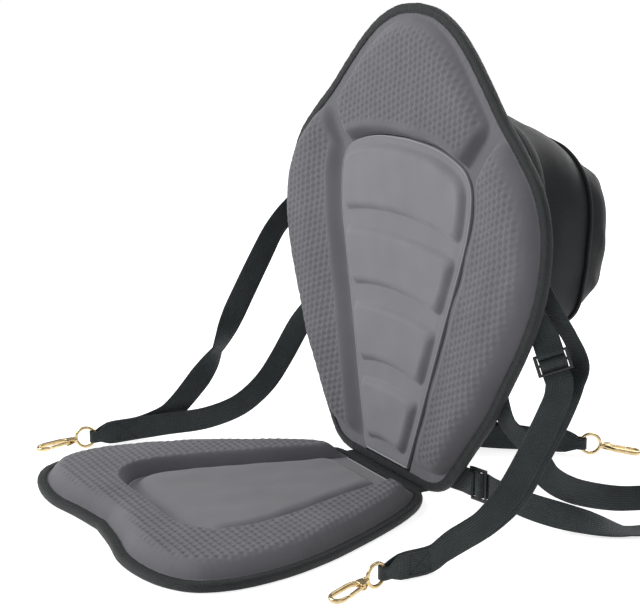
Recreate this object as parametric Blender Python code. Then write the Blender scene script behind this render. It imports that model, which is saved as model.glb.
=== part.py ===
"""Kayak seat: a moulded foam seat pan and backrest on a sewn hinge, with a rear bag, webbing and snap hooks.

Metres, +Z up, standing on z = 0. X runs across the seat, the sitter faces -Y and the hinge lies along X.
The seat's own frame has y = 0 at the hinge; the root places it with the origin under the middle of the pan.
"""

import math

import bmesh
import bpy
import numpy as np
from mathutils import Matrix, Vector
from mathutils.geometry import delaunay_2d_cdt

# Fit between touching pieces
GAP = 0.0003

# The hinge lies this far behind the origin
HINGE_Y = 0.178

# Panels: board, pad margin and edge binding, the same on the seat pan and the backrest
BOARD_THICK = 0.0042
PANEL_THICK = 0.009
TAPE = 0.0012
TAPE_WIDTH = 0.0085
TAPE_BULGE = 0.0016
PAD_MARGIN = 0.0030
PAD_BASE = BOARD_THICK + GAP
BOLSTER_INSET = 0.0105
LATTICE = 0.0115

# Seat pan, outline as half widths from the front notch round to the hinge
SEAT_OUTLINE = [(0.0, -0.338), (0.046, -0.344), (0.090, -0.352), (0.130, -0.350), (0.164, -0.340),
                (0.190, -0.320), (0.203, -0.284), (0.201, -0.230), (0.187, -0.178), (0.169, -0.135),
                (0.150, -0.095), (0.129, -0.057), (0.106, -0.026), (0.084, -0.009), (0.060, -0.0075)]
SEAT_REAR_Y = -0.0075
SEAT_LOOP_POINTS = 60
SEAT_BOLSTER_RISE = 0.0155
SEAT_WALL = 0.010
SEAT_SHOULDER = 0.034
SEAT_WINDOW = [(0.0, -0.276), (0.045, -0.277), (0.080, -0.273), (0.101, -0.257), (0.107, -0.228),
               (0.102, -0.190), (0.088, -0.140), (0.073, -0.090), (0.062, -0.048)]
SEAT_WINDOW_LOOP_POINTS = 48
SEAT_PILLOW_RISE = 0.0095
SEAT_PILLOW_INSET = 0.008
SEAT_PILLOW_FRONT_INSET = 0.016

# Backrest, measured up the panel from its bottom edge
BACK_TILT = math.radians(3.5)
HINGE_Z = 0.0102
BACK_SET = 0.008
BACK_HEIGHT = 0.500
BACK_OUTLINE = [(0.0, 0.0), (0.050, 0.0), (0.088, 0.001), (0.110, 0.009), (0.130, 0.029), (0.154, 0.060),
                (0.185, 0.101), (0.207, 0.140), (0.229, 0.180), (0.246, 0.220), (0.254, 0.262), (0.251, 0.303),
                (0.234, 0.340), (0.203, 0.371), (0.168, 0.400), (0.136, 0.431), (0.104, 0.460), (0.072, 0.482),
                (0.036, 0.496), (0.0, BACK_HEIGHT)]
BACK_LOOP_POINTS = 84
BOLSTER_RISE = 0.0175
BOLSTER_WALL = 0.010
BOLSTER_SHOULDER = 0.038
BOLSTER_FOOT_V = 0.019
HEAD_RISE = 0.0125
HEAD_SHOULDER = 0.030
VALLEY_HALF = 0.007
VALLEY_START = (0.126, 0.343)
VALLEY_HEADING = math.radians(51.5)

# Centre panel of the backrest: half width up the panel, then its arched top
PANEL_FOOT_V = 0.0105
PANEL_OUTLINE = [(0.0435, PANEL_FOOT_V), (0.0595, 0.060), (0.0765, 0.115), (0.0940, 0.171), (0.1175, 0.243),
                 (0.1265, 0.276), (0.1295, 0.306), (0.1265, 0.326), (0.1140, 0.341), (0.0880, 0.3515),
                 (0.0540, 0.3585), (0.0, 0.3615)]
PANEL_LOOP_POINTS = 64
FLANGE_RISE = 0.003
FLANGE_WIDTH = 0.009
LOBE_RISE = 0.0075
LOBE_WALL = 0.009
# Each lobe: bottom and top on the centre line, and how far each arch drops to its sides
LOBES = [(0.030, 0.094, 0.011, 0.006), (0.115, 0.178, 0.012, 0.010),
         (0.198, 0.259, 0.013, 0.009), (0.280, 0.380, 0.015, 0.010)]

# Sewn hinge strip between the two bindings
HINGE_HALF = 0.078
HINGE_SHEET = 0.001

# Webbing
WEB_WIDTH = 0.027
WEB_THICK = 0.0018
WEB_LOOP_WIDTH = 0.013
WEB_LOOP_INNER = 0.0037
WEB_SEWN = 0.042
WEB_FLOOR = 0.0008
STRAND_STEP = 0.016

# Snap hook: eye ring upright, hook flat, origin at the ring's centre, X towards the nose
RING_MEAN = 0.0111
RING_BAR = 0.0019
LOOP_AXIS = RING_MEAN + RING_BAR - (WEB_LOOP_INNER - 0.00045)
HOOK_LENGTH = 0.058
HOOK_HALF = 0.0075
HOOK_BAR = 0.0025
HOOK_DEPTH = 0.0031
HOOK_PITCH = math.radians(9.5)
GATE_PIN_X = 0.0215
GATE_PIN_Y = 0.0052
GATE_PIN_RADIUS = 0.0010
GATE_NOSE_X = 0.0420
GATE_BAR = 0.0015
EAR_THICK = 0.0013
EAR_RADIUS = 0.0027

# Three-bar slides on the webbing
SLIDE_BAR = 0.0024
SLIDE_PITCH = 0.0095
SLIDE_SIDE = 0.0035

# Rear bag
BAG_HALF = 0.178
BAG_FOOT_V = 0.156
BAG_TOP_V = 0.402
BAG_DEPTH = 0.128
BAG_POINTS = 36
BAG_CORD = 0.0024
BAG_CORD_DEPTH = 0.104
ZIP_DEPTH = 0.036
ZIP_WIDTH = 0.022
ZIP_THICK = 0.0014
ZIP_FOOT = 0.048
SLIDER_WIDE = 0.0090
SLIDER_LONG = 0.0120
SLIDER_THICK = 0.0026
SLIDER_CHEEK = 0.0012
SLIDER_DROP = 0.034
PULL_LONG = 0.028
PULL_WIDE = 0.0062
PULL_THICK = 0.0016
PULL_PIN = 0.0008

FABRIC_GREY = ((0.20, 0.20, 0.215, 1.0), 0.85, 0.0)
FABRIC_DARK = ((0.022, 0.024, 0.028, 1.0), 0.85, 0.0)
WEBBING_BLACK = ((0.028, 0.033, 0.034, 1.0), 0.80, 0.0)
BRASS = ((0.62, 0.49, 0.26, 1.0), 0.30, 1.0)
PLASTIC_BLACK = ((0.015, 0.016, 0.018, 1.0), 0.45, 0.0)
STEEL = ((0.55, 0.55, 0.56, 1.0), 0.30, 1.0)


def clear_scene():
    for obj in list(bpy.data.objects):
        bpy.data.objects.remove(obj, do_unlink=True)


def material(name, spec):
    made = bpy.data.materials.get(name)
    if made is None:
        made = bpy.data.materials.new(name)
        made.use_nodes = True
        shader = made.node_tree.nodes["Principled BSDF"]
        shader.inputs["Base Color"].default_value = spec[0]
        shader.inputs["Roughness"].default_value = spec[1]
        shader.inputs["Metallic"].default_value = spec[2]
    return made


def add_object(name, verts, faces, look, parent=None, matrix=None, smooth=True):
    mesh = bpy.data.meshes.new(name)
    mesh.from_pydata([tuple(float(c) for c in v) for v in verts], [], faces)
    mesh.validate()
    bm = bmesh.new()
    bm.from_mesh(mesh)
    bmesh.ops.recalc_face_normals(bm, faces=bm.faces)
    bm.to_mesh(mesh)
    bm.free()
    if smooth:
        mesh.shade_smooth()
        mesh.set_sharp_from_angle(angle=math.radians(50))
    mesh.materials.append(material(*look))
    obj = bpy.data.objects.new(name, mesh)
    bpy.context.scene.collection.objects.link(obj)
    if matrix is not None:
        obj.matrix_world = matrix
    if parent is not None:
        obj.parent = parent
    return obj


def add_empty(name, matrix):
    empty = bpy.data.objects.new(name, None)
    empty.matrix_world = matrix
    bpy.context.scene.collection.objects.link(empty)
    return empty


# Curves

def smooth_curve(points, closed=False, per_span=8):
    """A centripetal Catmull-Rom curve through the points."""
    pts = [np.array(p, float) for p in points]
    count = len(pts)
    out = []
    spans = count if closed else count - 1
    for i in range(spans):
        p1 = pts[i]
        p2 = pts[(i + 1) % count]
        p0 = pts[i - 1] if closed or i > 0 else 2 * p1 - p2
        p3 = pts[(i + 2) % count] if closed or i + 2 < count else 2 * p2 - p1
        t1 = np.linalg.norm(p1 - p0) ** 0.5
        t2 = t1 + np.linalg.norm(p2 - p1) ** 0.5
        t3 = t2 + np.linalg.norm(p3 - p2) ** 0.5
        for k in range(per_span):
            t = t1 + (t2 - t1) * k / per_span
            a1 = (t1 - t) / t1 * p0 + t / t1 * p1
            a2 = (t2 - t) / (t2 - t1) * p1 + (t - t1) / (t2 - t1) * p2
            a3 = (t3 - t) / (t3 - t2) * p2 + (t - t2) / (t3 - t2) * p3
            b1 = (t2 - t) / t2 * a1 + t / t2 * a2
            b2 = (t3 - t) / (t3 - t1) * a2 + (t - t1) / (t3 - t1) * a3
            out.append((t2 - t) / (t2 - t1) * b1 + (t - t1) / (t2 - t1) * b2)
    if not closed:
        out.append(pts[-1])
    return np.array(out)


def resample(curve, count, closed=True):
    """Points at equal steps along a polyline."""
    line = np.vstack([curve, curve[:1]]) if closed else curve
    steps = np.linalg.norm(np.diff(line, axis=0), axis=1)
    run = np.concatenate([[0.0], np.cumsum(steps)])
    stops = np.linspace(0.0, run[-1], count + 1)[:-1] if closed else np.linspace(0.0, run[-1], count)
    return np.column_stack([np.interp(stops, run, line[:, k]) for k in range(line.shape[1])])


def mirrored_loop(half, count):
    """A closed, symmetric outline, counter-clockwise, from its right half."""
    right = smooth_curve(half)
    left = right[::-1] * np.array([-1.0, 1.0])
    middle = [row for row in left if row[0] < -1e-9]
    loop = np.vstack([right, np.array(middle)])
    return resample(loop, count)


def loop_normals(loop):
    """Outward unit normals of a counter-clockwise loop."""
    tangent = np.roll(loop, -1, axis=0) - np.roll(loop, 1, axis=0)
    normal = np.column_stack([tangent[:, 1], -tangent[:, 0]])
    return normal / np.linalg.norm(normal, axis=1)[:, None]


def offset_loop(loop, distance):
    return loop + loop_normals(loop) * distance


def closed_line(loop):
    return np.vstack([loop, loop[:1]])


def distance_inside(points, loop):
    """Distance to a loop, positive inside it."""
    a = loop
    b = np.roll(loop, -1, axis=0)
    best = np.full(len(points), np.inf)
    inside = np.zeros(len(points), bool)
    x = points[:, 0]
    y = points[:, 1]
    for p, q in zip(a, b):
        d = q - p
        t = np.clip(((points - p) @ d) / (d @ d), 0.0, 1.0)
        best = np.minimum(best, np.hypot(x - p[0] - t * d[0], y - p[1] - t * d[1]))
        crosses = (p[1] > y) != (q[1] > y)
        if d[1] != 0.0:
            inside ^= crosses & (x < p[0] + d[0] * (y - p[1]) / d[1])
    return np.where(inside, best, -best)


def soft_min(a, b, radius):
    """The lesser of two distances, rounded where they meet."""
    h = np.clip(0.5 + 0.5 * (b - a) / radius, 0.0, 1.0)
    return b * (1 - h) + a * h - radius * h * (1 - h)


def rise(distance, width, power=2.0):
    """0 at an edge, rising steeply and rounding over to 1 at the given width."""
    return 1.0 - (1.0 - np.clip(distance / width, 0.0, 1.0)) ** power


# Panels as sheets in their own (u, v) plane, thick along w

def loft_rings(rings, close_ends=True):
    """Faces for rings of equal length, the first and last capped."""
    size = len(rings[0])
    faces = []
    for r in range(len(rings) - 1):
        for i in range(size):
            j = (i + 1) % size
            faces.append((r * size + i, r * size + j, (r + 1) * size + j, (r + 1) * size + i))
    if close_ends:
        faces.append(tuple(range(size))[::-1])
        faces.append(tuple((len(rings) - 1) * size + i for i in range(size)))
    return np.vstack(rings), faces


def raise_loop(loop, w):
    return np.column_stack([loop, np.full(len(loop), w)])


def board_shape(loop):
    """The stiff board: its underside is bevelled for the binding's lower lip."""
    rings = [raise_loop(offset_loop(loop, -TAPE_WIDTH - 0.8 * TAPE), 0.0),
             raise_loop(offset_loop(loop, -TAPE - GAP), TAPE + GAP),
             raise_loop(offset_loop(loop, -TAPE - GAP), BOARD_THICK)]
    return loft_rings(rings)


def binding_shape(loop):
    """The folded tape round the edge: a C section, open towards the panel."""
    section = [(-TAPE_WIDTH, 0.0), (0.6 * TAPE_BULGE, 0.0), (TAPE_BULGE, PANEL_THICK / 2),
               (0.6 * TAPE_BULGE, PANEL_THICK), (-TAPE_WIDTH, PANEL_THICK), (-TAPE_WIDTH, PANEL_THICK - TAPE),
               (-TAPE, PANEL_THICK - TAPE), (-TAPE, TAPE)]
    rings = [raise_loop(offset_loop(loop, out), w) for out, w in section]
    verts, faces = loft_rings(rings + [rings[0]], close_ends=False)
    size = len(loop)
    last = len(section) * size
    faces = [tuple(i - last if i >= last else i for i in face) for face in faces]
    return verts[:last], faces


def lattice_points(loop, spacing):
    """A triangular lattice over a loop's box."""
    low = loop.min(axis=0)
    high = loop.max(axis=0)
    half_columns = int((high[0] - low[0]) / 2 / spacing) + 1
    rows = int((high[1] - low[1]) / (spacing * 0.866)) + 1
    out = []
    for r in range(rows + 1):
        shift = 0.5 * (r % 2)
        for c in range(-half_columns, half_columns + 1):
            out.append(((c + shift) * spacing, low[1] + r * spacing * 0.866))
    return np.array(out)


def spread_points(groups, boundary, spacing):
    """Points of each group in turn, left out where they crowd the ones before."""
    kept = [np.array(p) for p in boundary]
    inner = []
    field = np.array(kept)
    for group, near in groups:
        for p in group:
            if len(p) and np.min(np.hypot(field[:, 0] - p[0], field[:, 1] - p[1])) > near * spacing:
                inner.append(p)
                field = np.vstack([field, p])
    return inner


def sheet_solid(boundary, creases, inner, height, base):
    """A closed solid between a flat base and a relief, over one outline, with edges along its creases."""
    coords = [Vector((float(x), float(y))) for x, y in boundary]
    edges = [(i, (i + 1) % len(boundary)) for i in range(len(boundary))]
    for crease in creases:
        first = len(coords)
        coords += [Vector((float(x), float(y))) for x, y in crease]
        edges += [(first + i, first + i + 1) for i in range(len(crease) - 1)]
    coords += [Vector((float(x), float(y))) for x, y in inner]
    made = delaunay_2d_cdt(coords, edges, [], 1, 1e-7)
    flat = np.array([tuple(v) for v in made[0]])
    faces = [tuple(f) for f in made[2]]
    used = sorted({i for f in faces for i in f})
    place = {old: new for new, old in enumerate(used)}
    flat = flat[used]
    faces = [tuple(place[i] for i in f) for f in faces]
    sides = {(f[k], f[k - 2]) for f in faces for k in range(3)}
    after = {a: b for a, b in sides if (b, a) not in sides}
    rim = [next(iter(after))]
    while after[rim[-1]] != rim[0]:
        rim.append(after[rim[-1]])
        if len(rim) > len(after):
            raise ValueError("the outline crosses itself")
    verts = [(x, y, z) for (x, y), z in zip(flat, height(flat))]
    low = {old: len(verts) + new for new, old in enumerate(rim)}
    verts += [(flat[i][0], flat[i][1], base) for i in rim]
    for i, j in zip(rim, rim[1:] + rim[:1]):
        faces.append((i, j, low[j], low[i]))
    faces.append(tuple(low[i] for i in rim))
    return verts, faces


def window_line(half, count):
    """An open line round the window, from its right foot over the top to its left foot."""
    right = smooth_curve(half)
    left = (right * np.array([-1.0, 1.0]))[::-1]
    return resample(np.vstack([right, left[1:]]), count, closed=False)


# Relief of the moulded pads

def seat_relief(points, outline, window):
    edge = distance_inside(points, outline) - BOLSTER_INSET
    wall = -distance_inside(points, window) - 2 * GAP
    foot = SEAT_REAR_Y - BOLSTER_INSET - points[:, 1]
    body = soft_min(edge, foot, 0.010)
    lift = rise(wall, SEAT_WALL) * rise(body, SEAT_SHOULDER, 2.2)
    return PAD_BASE + PAD_MARGIN + SEAT_BOLSTER_RISE * lift


def seat_pillow_relief(points, window):
    depth = distance_inside(points, window) - SEAT_PILLOW_INSET
    front = points[:, 1] - SEAT_WINDOW[0][1] - SEAT_PILLOW_FRONT_INSET
    rear = SEAT_REAR_Y - 0.031 - points[:, 1]
    body = soft_min(soft_min(depth, front, 0.012), rear, 0.012)
    return PAD_BASE + PAD_MARGIN + SEAT_PILLOW_RISE * rise(body, 0.016)


def back_relief(points, outline, panel):
    edge = distance_inside(points, outline) - BOLSTER_INSET
    wall = -distance_inside(points, panel) - 2 * GAP - 0.002
    u = np.abs(points[:, 0])
    v = points[:, 1]
    across = (u - VALLEY_START[0]) * math.sin(VALLEY_HEADING) - (v - VALLEY_START[1]) * math.cos(VALLEY_HEADING)
    bolster = soft_min(edge, across - VALLEY_HALF, 0.030)
    bolster = soft_min(bolster, v - BOLSTER_FOOT_V, 0.022)
    side = rise(np.minimum(wall, across - VALLEY_HALF), BOLSTER_WALL) * rise(bolster, BOLSTER_SHOULDER, 2.2)
    head = soft_min(edge, -across - VALLEY_HALF, 0.014)
    crown = rise(np.minimum(wall, -across - VALLEY_HALF), BOLSTER_WALL) * rise(head, HEAD_SHOULDER, 2.2)
    lift = np.where(across > 0, BOLSTER_RISE * side, HEAD_RISE * crown)
    return PAD_BASE + PAD_MARGIN + lift


def panel_relief(points, panel):
    edge = distance_inside(points, panel)
    u = points[:, 0]
    v = points[:, 1]
    half = np.interp(v, [p[1] for p in PANEL_OUTLINE], [p[0] for p in PANEL_OUTLINE])
    share = (u / np.maximum(half, 0.02)) ** 2
    share = np.clip(share, 0.0, 1.0)
    lift = np.zeros(len(points))
    for low, high, low_drop, high_drop in LOBES:
        body = soft_min(v - low + low_drop * share, high - high_drop * share - v, 0.004)
        body = soft_min(body, edge - FLANGE_WIDTH, 0.010)
        lift = np.maximum(lift, rise(body, LOBE_WALL))
    return PAD_BASE + PAD_MARGIN + FLANGE_RISE * rise(edge, 0.003) + LOBE_RISE * lift


def build_seat(root):
    outline = mirrored_loop(SEAT_OUTLINE, SEAT_LOOP_POINTS)
    grey = ("grey_fabric", FABRIC_GREY)
    dark = ("dark_fabric", FABRIC_DARK)
    add_object("seat_board", *board_shape(outline), dark, root)
    add_object("seat_binding", *binding_shape(outline), ("webbing_black", WEBBING_BLACK), root)
    foot_y = SEAT_REAR_Y - TAPE_WIDTH - GAP
    window_half = SEAT_WINDOW + [(0.056, foot_y)]
    line = window_line(window_half[::-1], SEAT_WINDOW_LOOP_POINTS)
    pad_edge = offset_loop(outline, -TAPE - GAP)
    pad = horseshoe(pad_edge, line)
    closed = window_loop(window_half, SEAT_WINDOW_LOOP_POINTS)
    foot_line = closed_line(offset_loop(outline, -BOLSTER_INSET))
    shoulder = closed_line(offset_loop(outline, -BOLSTER_INSET - 0.25 * SEAT_SHOULDER))
    wall_top = closed_line(offset_loop(closed, 0.6 * SEAT_WALL))
    groups = [(offset_loop(outline, -BOLSTER_INSET - 0.7 * SEAT_SHOULDER), 0.7),
              (lattice_points(outline, LATTICE), 0.75)]
    solid_pad(root, "seat_pad", pad, [foot_line, shoulder, wall_top], groups,
              lambda p: seat_relief(p, outline, closed), grey)
    pillow = offset_loop(closed, -2 * GAP)
    creases = [closed_line(offset_loop(closed, -SEAT_PILLOW_INSET))]
    groups = [(offset_loop(closed, -d), 0.5) for d in (0.014, 0.022)]
    groups += [(lattice_points(pillow, 1.3 * LATTICE), 0.8)]
    solid_pad(root, "seat_centre_pad", pillow, creases, groups, lambda p: seat_pillow_relief(p, closed), grey)


def window_loop(half, count):
    """The window as a closed, counter-clockwise loop, its foot straight."""
    line = window_line(half[::-1], count)
    if line[0][0] > 0:
        area = np.sum(line[:, 0] * np.roll(line[:, 1], -1) - np.roll(line[:, 0], -1) * line[:, 1])
        line = line if area > 0 else line[::-1]
    return line


def horseshoe(pad_edge, line):
    """The seat pad's outline: round the front of the pan and back round the window."""
    rear = pad_edge[:, 1].max()
    foot = abs(line[0][0])
    reach = foot + 0.004
    before = np.roll(pad_edge, 1, axis=0)
    passes = (pad_edge[:, 0] < -reach) & (before[:, 0] >= -reach) & (pad_edge[:, 1] > rear - 0.01)
    ordered = np.roll(pad_edge, -int(np.argmax(passes)), axis=0)
    outer = [p for p in ordered if not (abs(p[0]) <= reach and p[1] > rear - 0.01)]
    inner = offset_line(line, 2 * GAP)
    edge = abs(inner[0][0])
    if rear - inner[0][1] > 0.001:
        inner = np.vstack([[(edge, rear)], inner, [(-edge, rear)]])
    else:
        inner[[0, -1], 1] = rear
    return np.vstack([np.array(outer), inner])


def offset_line(line, distance):
    """An open line moved away from the middle."""
    tangent = np.gradient(line, axis=0)
    normal = np.column_stack([tangent[:, 1], -tangent[:, 0]])
    normal /= np.linalg.norm(normal, axis=1)[:, None]
    middle = line.mean(axis=0)
    if np.sum((line - middle) * normal) < 0:
        normal = -normal
    return line + normal * distance


def solid_pad(parent, name, boundary, creases, groups, height, look):
    lines = []
    for crease in creases:
        lines += inside_runs(crease, boundary)
    checked = []
    for points, near in groups:
        inside = distance_inside(points, boundary)
        checked.append((points[inside > 0.35 * LATTICE], near))
    fixed = np.vstack([boundary] + lines)
    inner = spread_points(checked, fixed, LATTICE)
    verts, faces = sheet_solid(boundary, lines, inner, height, PAD_BASE)
    return add_object(name, verts, faces, look, parent)


def inside_runs(crease, boundary):
    """The stretches of a crease that lie well inside an outline."""
    keep = distance_inside(crease, boundary) > 0.0015
    runs = []
    run = []
    for point, inside in zip(crease, keep):
        if inside:
            run.append(point)
        elif len(run) > 1:
            runs.append(np.array(run))
            run = []
        else:
            run = []
    if len(run) > 1:
        runs.append(np.array(run))
    return runs


# Backrest

def back_matrix():
    """The backrest's frame on the hinge axis: u across, v up the panel, w forwards."""
    s = math.sin(BACK_TILT)
    c = math.cos(BACK_TILT)
    return Matrix(((1, 0, 0, 0), (0, s, -c, 0), (0, c, s, HINGE_Z), (0, 0, 0, 1)))


def flipped(loop):
    return (loop * np.array([1.0, -1.0]))[::-1]


def arch_lines():
    """Lines along the foot and the shoulder of every lobe's arches."""
    lines = []
    for low, high, low_drop, high_drop in LOBES:
        arches = [(low, low_drop), (low + 0.6 * LOBE_WALL, low_drop),
                  (high - 0.6 * LOBE_WALL, high_drop), (high, high_drop)]
        for centre, drop in arches:
            if centre < PANEL_OUTLINE[-1][1] - FLANGE_WIDTH:
                half = np.interp(centre, [p[1] for p in PANEL_OUTLINE], [p[0] for p in PANEL_OUTLINE])
                reach = half - FLANGE_WIDTH - 0.002
                across = np.linspace(-reach, reach, 2 * int(reach / 0.015) + 1)
                lines.append(np.column_stack([across, centre - drop * (across / half) ** 2]))
    return lines


def valley_lines():
    """Lines along both banks of the valleys between the head pad and the side bolsters."""
    lines = []
    along = np.array([math.cos(VALLEY_HEADING), math.sin(VALLEY_HEADING)])
    aside = np.array([math.sin(VALLEY_HEADING), -math.cos(VALLEY_HEADING)])
    for side in (1.0, -1.0):
        slope = 0.6 * BOLSTER_WALL
        for bank in (-VALLEY_HALF - slope, -VALLEY_HALF, VALLEY_HALF, VALLEY_HALF + slope):
            steps = np.linspace(0.002, 0.090, 9)[:, None]
            line = np.array(VALLEY_START) + steps * along + bank * aside
            lines.append(line * np.array([side, 1.0]))
    return lines


def build_back(back):
    outline = mirrored_loop(BACK_OUTLINE[1:-1] + [BACK_OUTLINE[-1]], BACK_LOOP_POINTS)
    grey = ("grey_fabric", FABRIC_GREY)
    place = Matrix.Translation((0, 0, -BACK_SET))
    add_object("back_board", *board_shape(outline), ("dark_fabric", FABRIC_DARK), back, place)
    add_object("back_binding", *binding_shape(outline), ("webbing_black", WEBBING_BLACK), back, place)
    panel = window_line(PANEL_OUTLINE, PANEL_LOOP_POINTS)
    line = window_line([(PANEL_OUTLINE[0][0], TAPE + GAP)] + PANEL_OUTLINE[1:], PANEL_LOOP_POINTS)
    pad = flipped(horseshoe(flipped(offset_loop(outline, -TAPE - GAP)), flipped(line)[::-1]))
    wall = 0.002 + 2 * GAP
    creases = [closed_line(offset_loop(outline, -BOLSTER_INSET)),
               closed_line(offset_loop(outline, -BOLSTER_INSET - 0.25 * BOLSTER_SHOULDER)),
               offset_line(line, wall), offset_line(line, wall + 0.65 * BOLSTER_WALL)]
    creases += valley_lines()
    groups = [(offset_loop(outline, -BOLSTER_INSET - 0.7 * BOLSTER_SHOULDER), 0.7),
              (lattice_points(outline, 1.15 * LATTICE), 0.85)]
    solid = solid_pad(back, "back_pad", pad, creases, groups, lambda p: back_relief(p, outline, panel), grey)
    solid.matrix_basis = place
    creases = arch_lines()
    groups = [(offset_loop(panel, -d), 0.45) for d in (0.003, FLANGE_WIDTH, FLANGE_WIDTH + 0.6 * LOBE_WALL)]
    groups += [(lattice_points(panel, 1.6 * LATTICE), 0.9)]
    inner = offset_loop(panel, -2 * GAP)
    solid = solid_pad(back, "back_centre_panel", inner, creases, groups, lambda p: panel_relief(p, panel), grey)
    solid.matrix_basis = place


def build_hinge_strip(root):
    """The sewn strip that joins the seat's binding to the backrest's: an angle along X."""
    front = SEAT_REAR_Y + TAPE_BULGE + GAP
    top = HINGE_Z - TAPE_BULGE - BACK_SET * math.sin(BACK_TILT) - 2 * GAP
    rear = BACK_SET * math.cos(BACK_TILT) - 2 * GAP
    inside = front + HINGE_SHEET
    profile = [(front, HINGE_SHEET), (inside, HINGE_SHEET), (inside, top - HINGE_SHEET),
               (rear, top - HINGE_SHEET), (rear, top), (front, top)]
    ends = []
    for x in (-HINGE_HALF, HINGE_HALF):
        ends.append(np.array([(x, y, z) for y, z in profile]))
    verts, faces = loft_rings(ends)
    add_object("hinge_strip", verts, faces, ("dark_fabric", FABRIC_DARK), root, smooth=False)


# Webbing

def unit(v):
    v = np.array(v, float)
    return v / np.linalg.norm(v)


def ribbon(name, path, parent, turn=None):
    """A flat strip: path rows are point, flat normal, width; from the row of its turn it lies on itself."""
    points = np.array([row[0] for row in path], float)
    tangents = np.gradient(points, axis=0)
    rings = [[], [], [], []]
    for (point, normal, width), tangent in zip(path, tangents):
        along = unit(tangent)
        flat = unit(np.array(normal) - along * np.dot(normal, along))
        across = np.cross(along, flat)
        for ring, (a, b) in zip(rings, ((1, 1), (1, -1), (-1, -1), (-1, 1))):
            ring.append(np.array(point) + flat * a * WEB_THICK / 2 + across * b * width / 2)
    count = len(points)
    verts = np.vstack([np.array(r) for r in rings])
    faces = [tuple(k * count for k in range(4)), tuple(k * count + count - 1 for k in reversed(range(4)))]
    for k in range(4):
        first = k * count
        second = (k + 1) % 4 * count
        for i in range(count - 1):
            a = first + i
            b = a + 1
            d = second + i
            c = d + 1
            back_again = turn is not None and i >= turn
            if (k == 2) != back_again:
                faces += [(a, b, d), (b, c, d)]
            else:
                faces += [(a, b, c), (a, c, d)]
    return add_object(name, verts, faces, ("webbing_black", WEBBING_BLACK), parent, smooth=False)


def run_between(rows):
    """Rows of a strand, smoothed through its points, with turned normals between them."""
    points = [row[0] for row in rows]
    normals = [unit(rows[0][1])]
    for row in rows[1:]:
        turned = unit(row[1])
        normals.append(turned if np.dot(turned, normals[-1]) >= -0.05 else -turned)
    lengths = [np.linalg.norm(np.subtract(q, p)) for p, q in zip(points, points[1:])]
    spans = [max(1, round(length / STRAND_STEP)) for length in lengths]
    fine = smooth_curve(points, per_span=8)
    out = []
    for i, steps in enumerate(spans):
        for k in range(steps):
            share = k / steps
            at = 8 * (i + share)
            low = int(at)
            point = fine[low] + (fine[low + 1] - fine[low]) * (at - low)
            out.append((point, unit(normals[i] * (1 - share) + normals[i + 1] * share), WEB_WIDTH))
    out.append((np.array(points[-1], float), normals[-1], WEB_WIDTH))
    return out


def ring_loop(axis_point, heading):
    """The fold of a strap round its ring, from the sewn end and back, seen from above."""
    ahead = np.array([heading[0], heading[1], 0.0])
    left = np.array([-heading[1], heading[0], 0.0])
    apart = WEB_THICK / 2 + GAP
    radius = WEB_LOOP_INNER + WEB_THICK / 2
    side = [(-WEB_SEWN - 0.012, apart, WEB_WIDTH), (-0.026, apart, WEB_WIDTH),
            (-0.0175, apart + 0.0002, 0.0255), (-0.0100, 0.0027, 0.019), (-0.0048, 0.0040, WEB_LOOP_WIDTH)]
    plan = list(side)
    for k in range(9):
        angle = math.radians(100 - 25 * k)
        plan.append((radius * math.cos(angle), radius * math.sin(angle), WEB_LOOP_WIDTH))
    plan += [(a, -b, w) for a, b, w in reversed(side)]
    points = []
    for a, b, width in plan:
        height = WEB_FLOOR + WEB_WIDTH / 2 - 0.0013 * (WEB_WIDTH - width) / (WEB_WIDTH - WEB_LOOP_WIDTH)
        points.append(np.array([axis_point[0], axis_point[1], height]) + ahead * a + left * b)
    tangents = np.gradient(np.array(points), axis=0)
    return [(p, np.cross(unit(t), (0, 0, 1)), row[2]) for p, t, row in zip(points, tangents, plan)]


def behind(u, v, off=0.0):
    """A point behind the backrest's rear face, in world coordinates."""
    return tuple(back_matrix() @ Vector((u, v, -BACK_SET - GAP - WEB_THICK / 2 - off)))


def slide_rows(centre, along, flat):
    """The webbing's way through a slide: under its first bar, over the middle one and out again."""
    plan = [(-0.0200, 0.0), (-0.0150, -0.0014), (-SLIDE_PITCH, -0.0029), (-0.0062, -0.0020), (-0.0040, 0.0004),
            (-0.0024, 0.0020), (0.0, 0.0026), (0.0026, 0.0019), (0.0038, -0.0004), (0.0048, -0.0034),
            (0.0080, -0.0062), (0.0150, -0.0078), (0.0210, -0.0080)]
    points = [np.array(centre) + along * s + flat * n for s, n in plan]
    tangents = np.gradient(np.array(points), axis=0)
    across = np.cross(along, flat)
    return [(p, np.cross(across, unit(t)), WEB_WIDTH) for p, t in zip(points, tangents)]


def grid_plate(xs, ys, holes, thick):
    """A plate on a grid of cells, open where a cell is named a hole."""
    verts = []
    for z in (-thick / 2, thick / 2):
        for y in ys:
            for x in xs:
                verts.append((x, y, z))
    nx = len(xs)
    ny = len(ys)
    layer = nx * ny
    cells = {(i, j) for i in range(nx - 1) for j in range(ny - 1)} - set(holes)
    faces = []
    for i, j in cells:
        a = j * nx + i
        quad = (a, a + 1, a + 1 + nx, a + nx)
        faces.append(tuple(k + layer for k in quad))
        faces.append(quad[::-1])
        for (p, q), (di, dj) in zip(((a, a + 1), (a + 1, a + 1 + nx), (a + 1 + nx, a + nx), (a + nx, a)),
                                    ((0, -1), (1, 0), (0, 1), (-1, 0))):
            if (i + di, j + dj) not in cells:
                faces.append((p, q, q + layer, p + layer))
    return verts, faces


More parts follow.
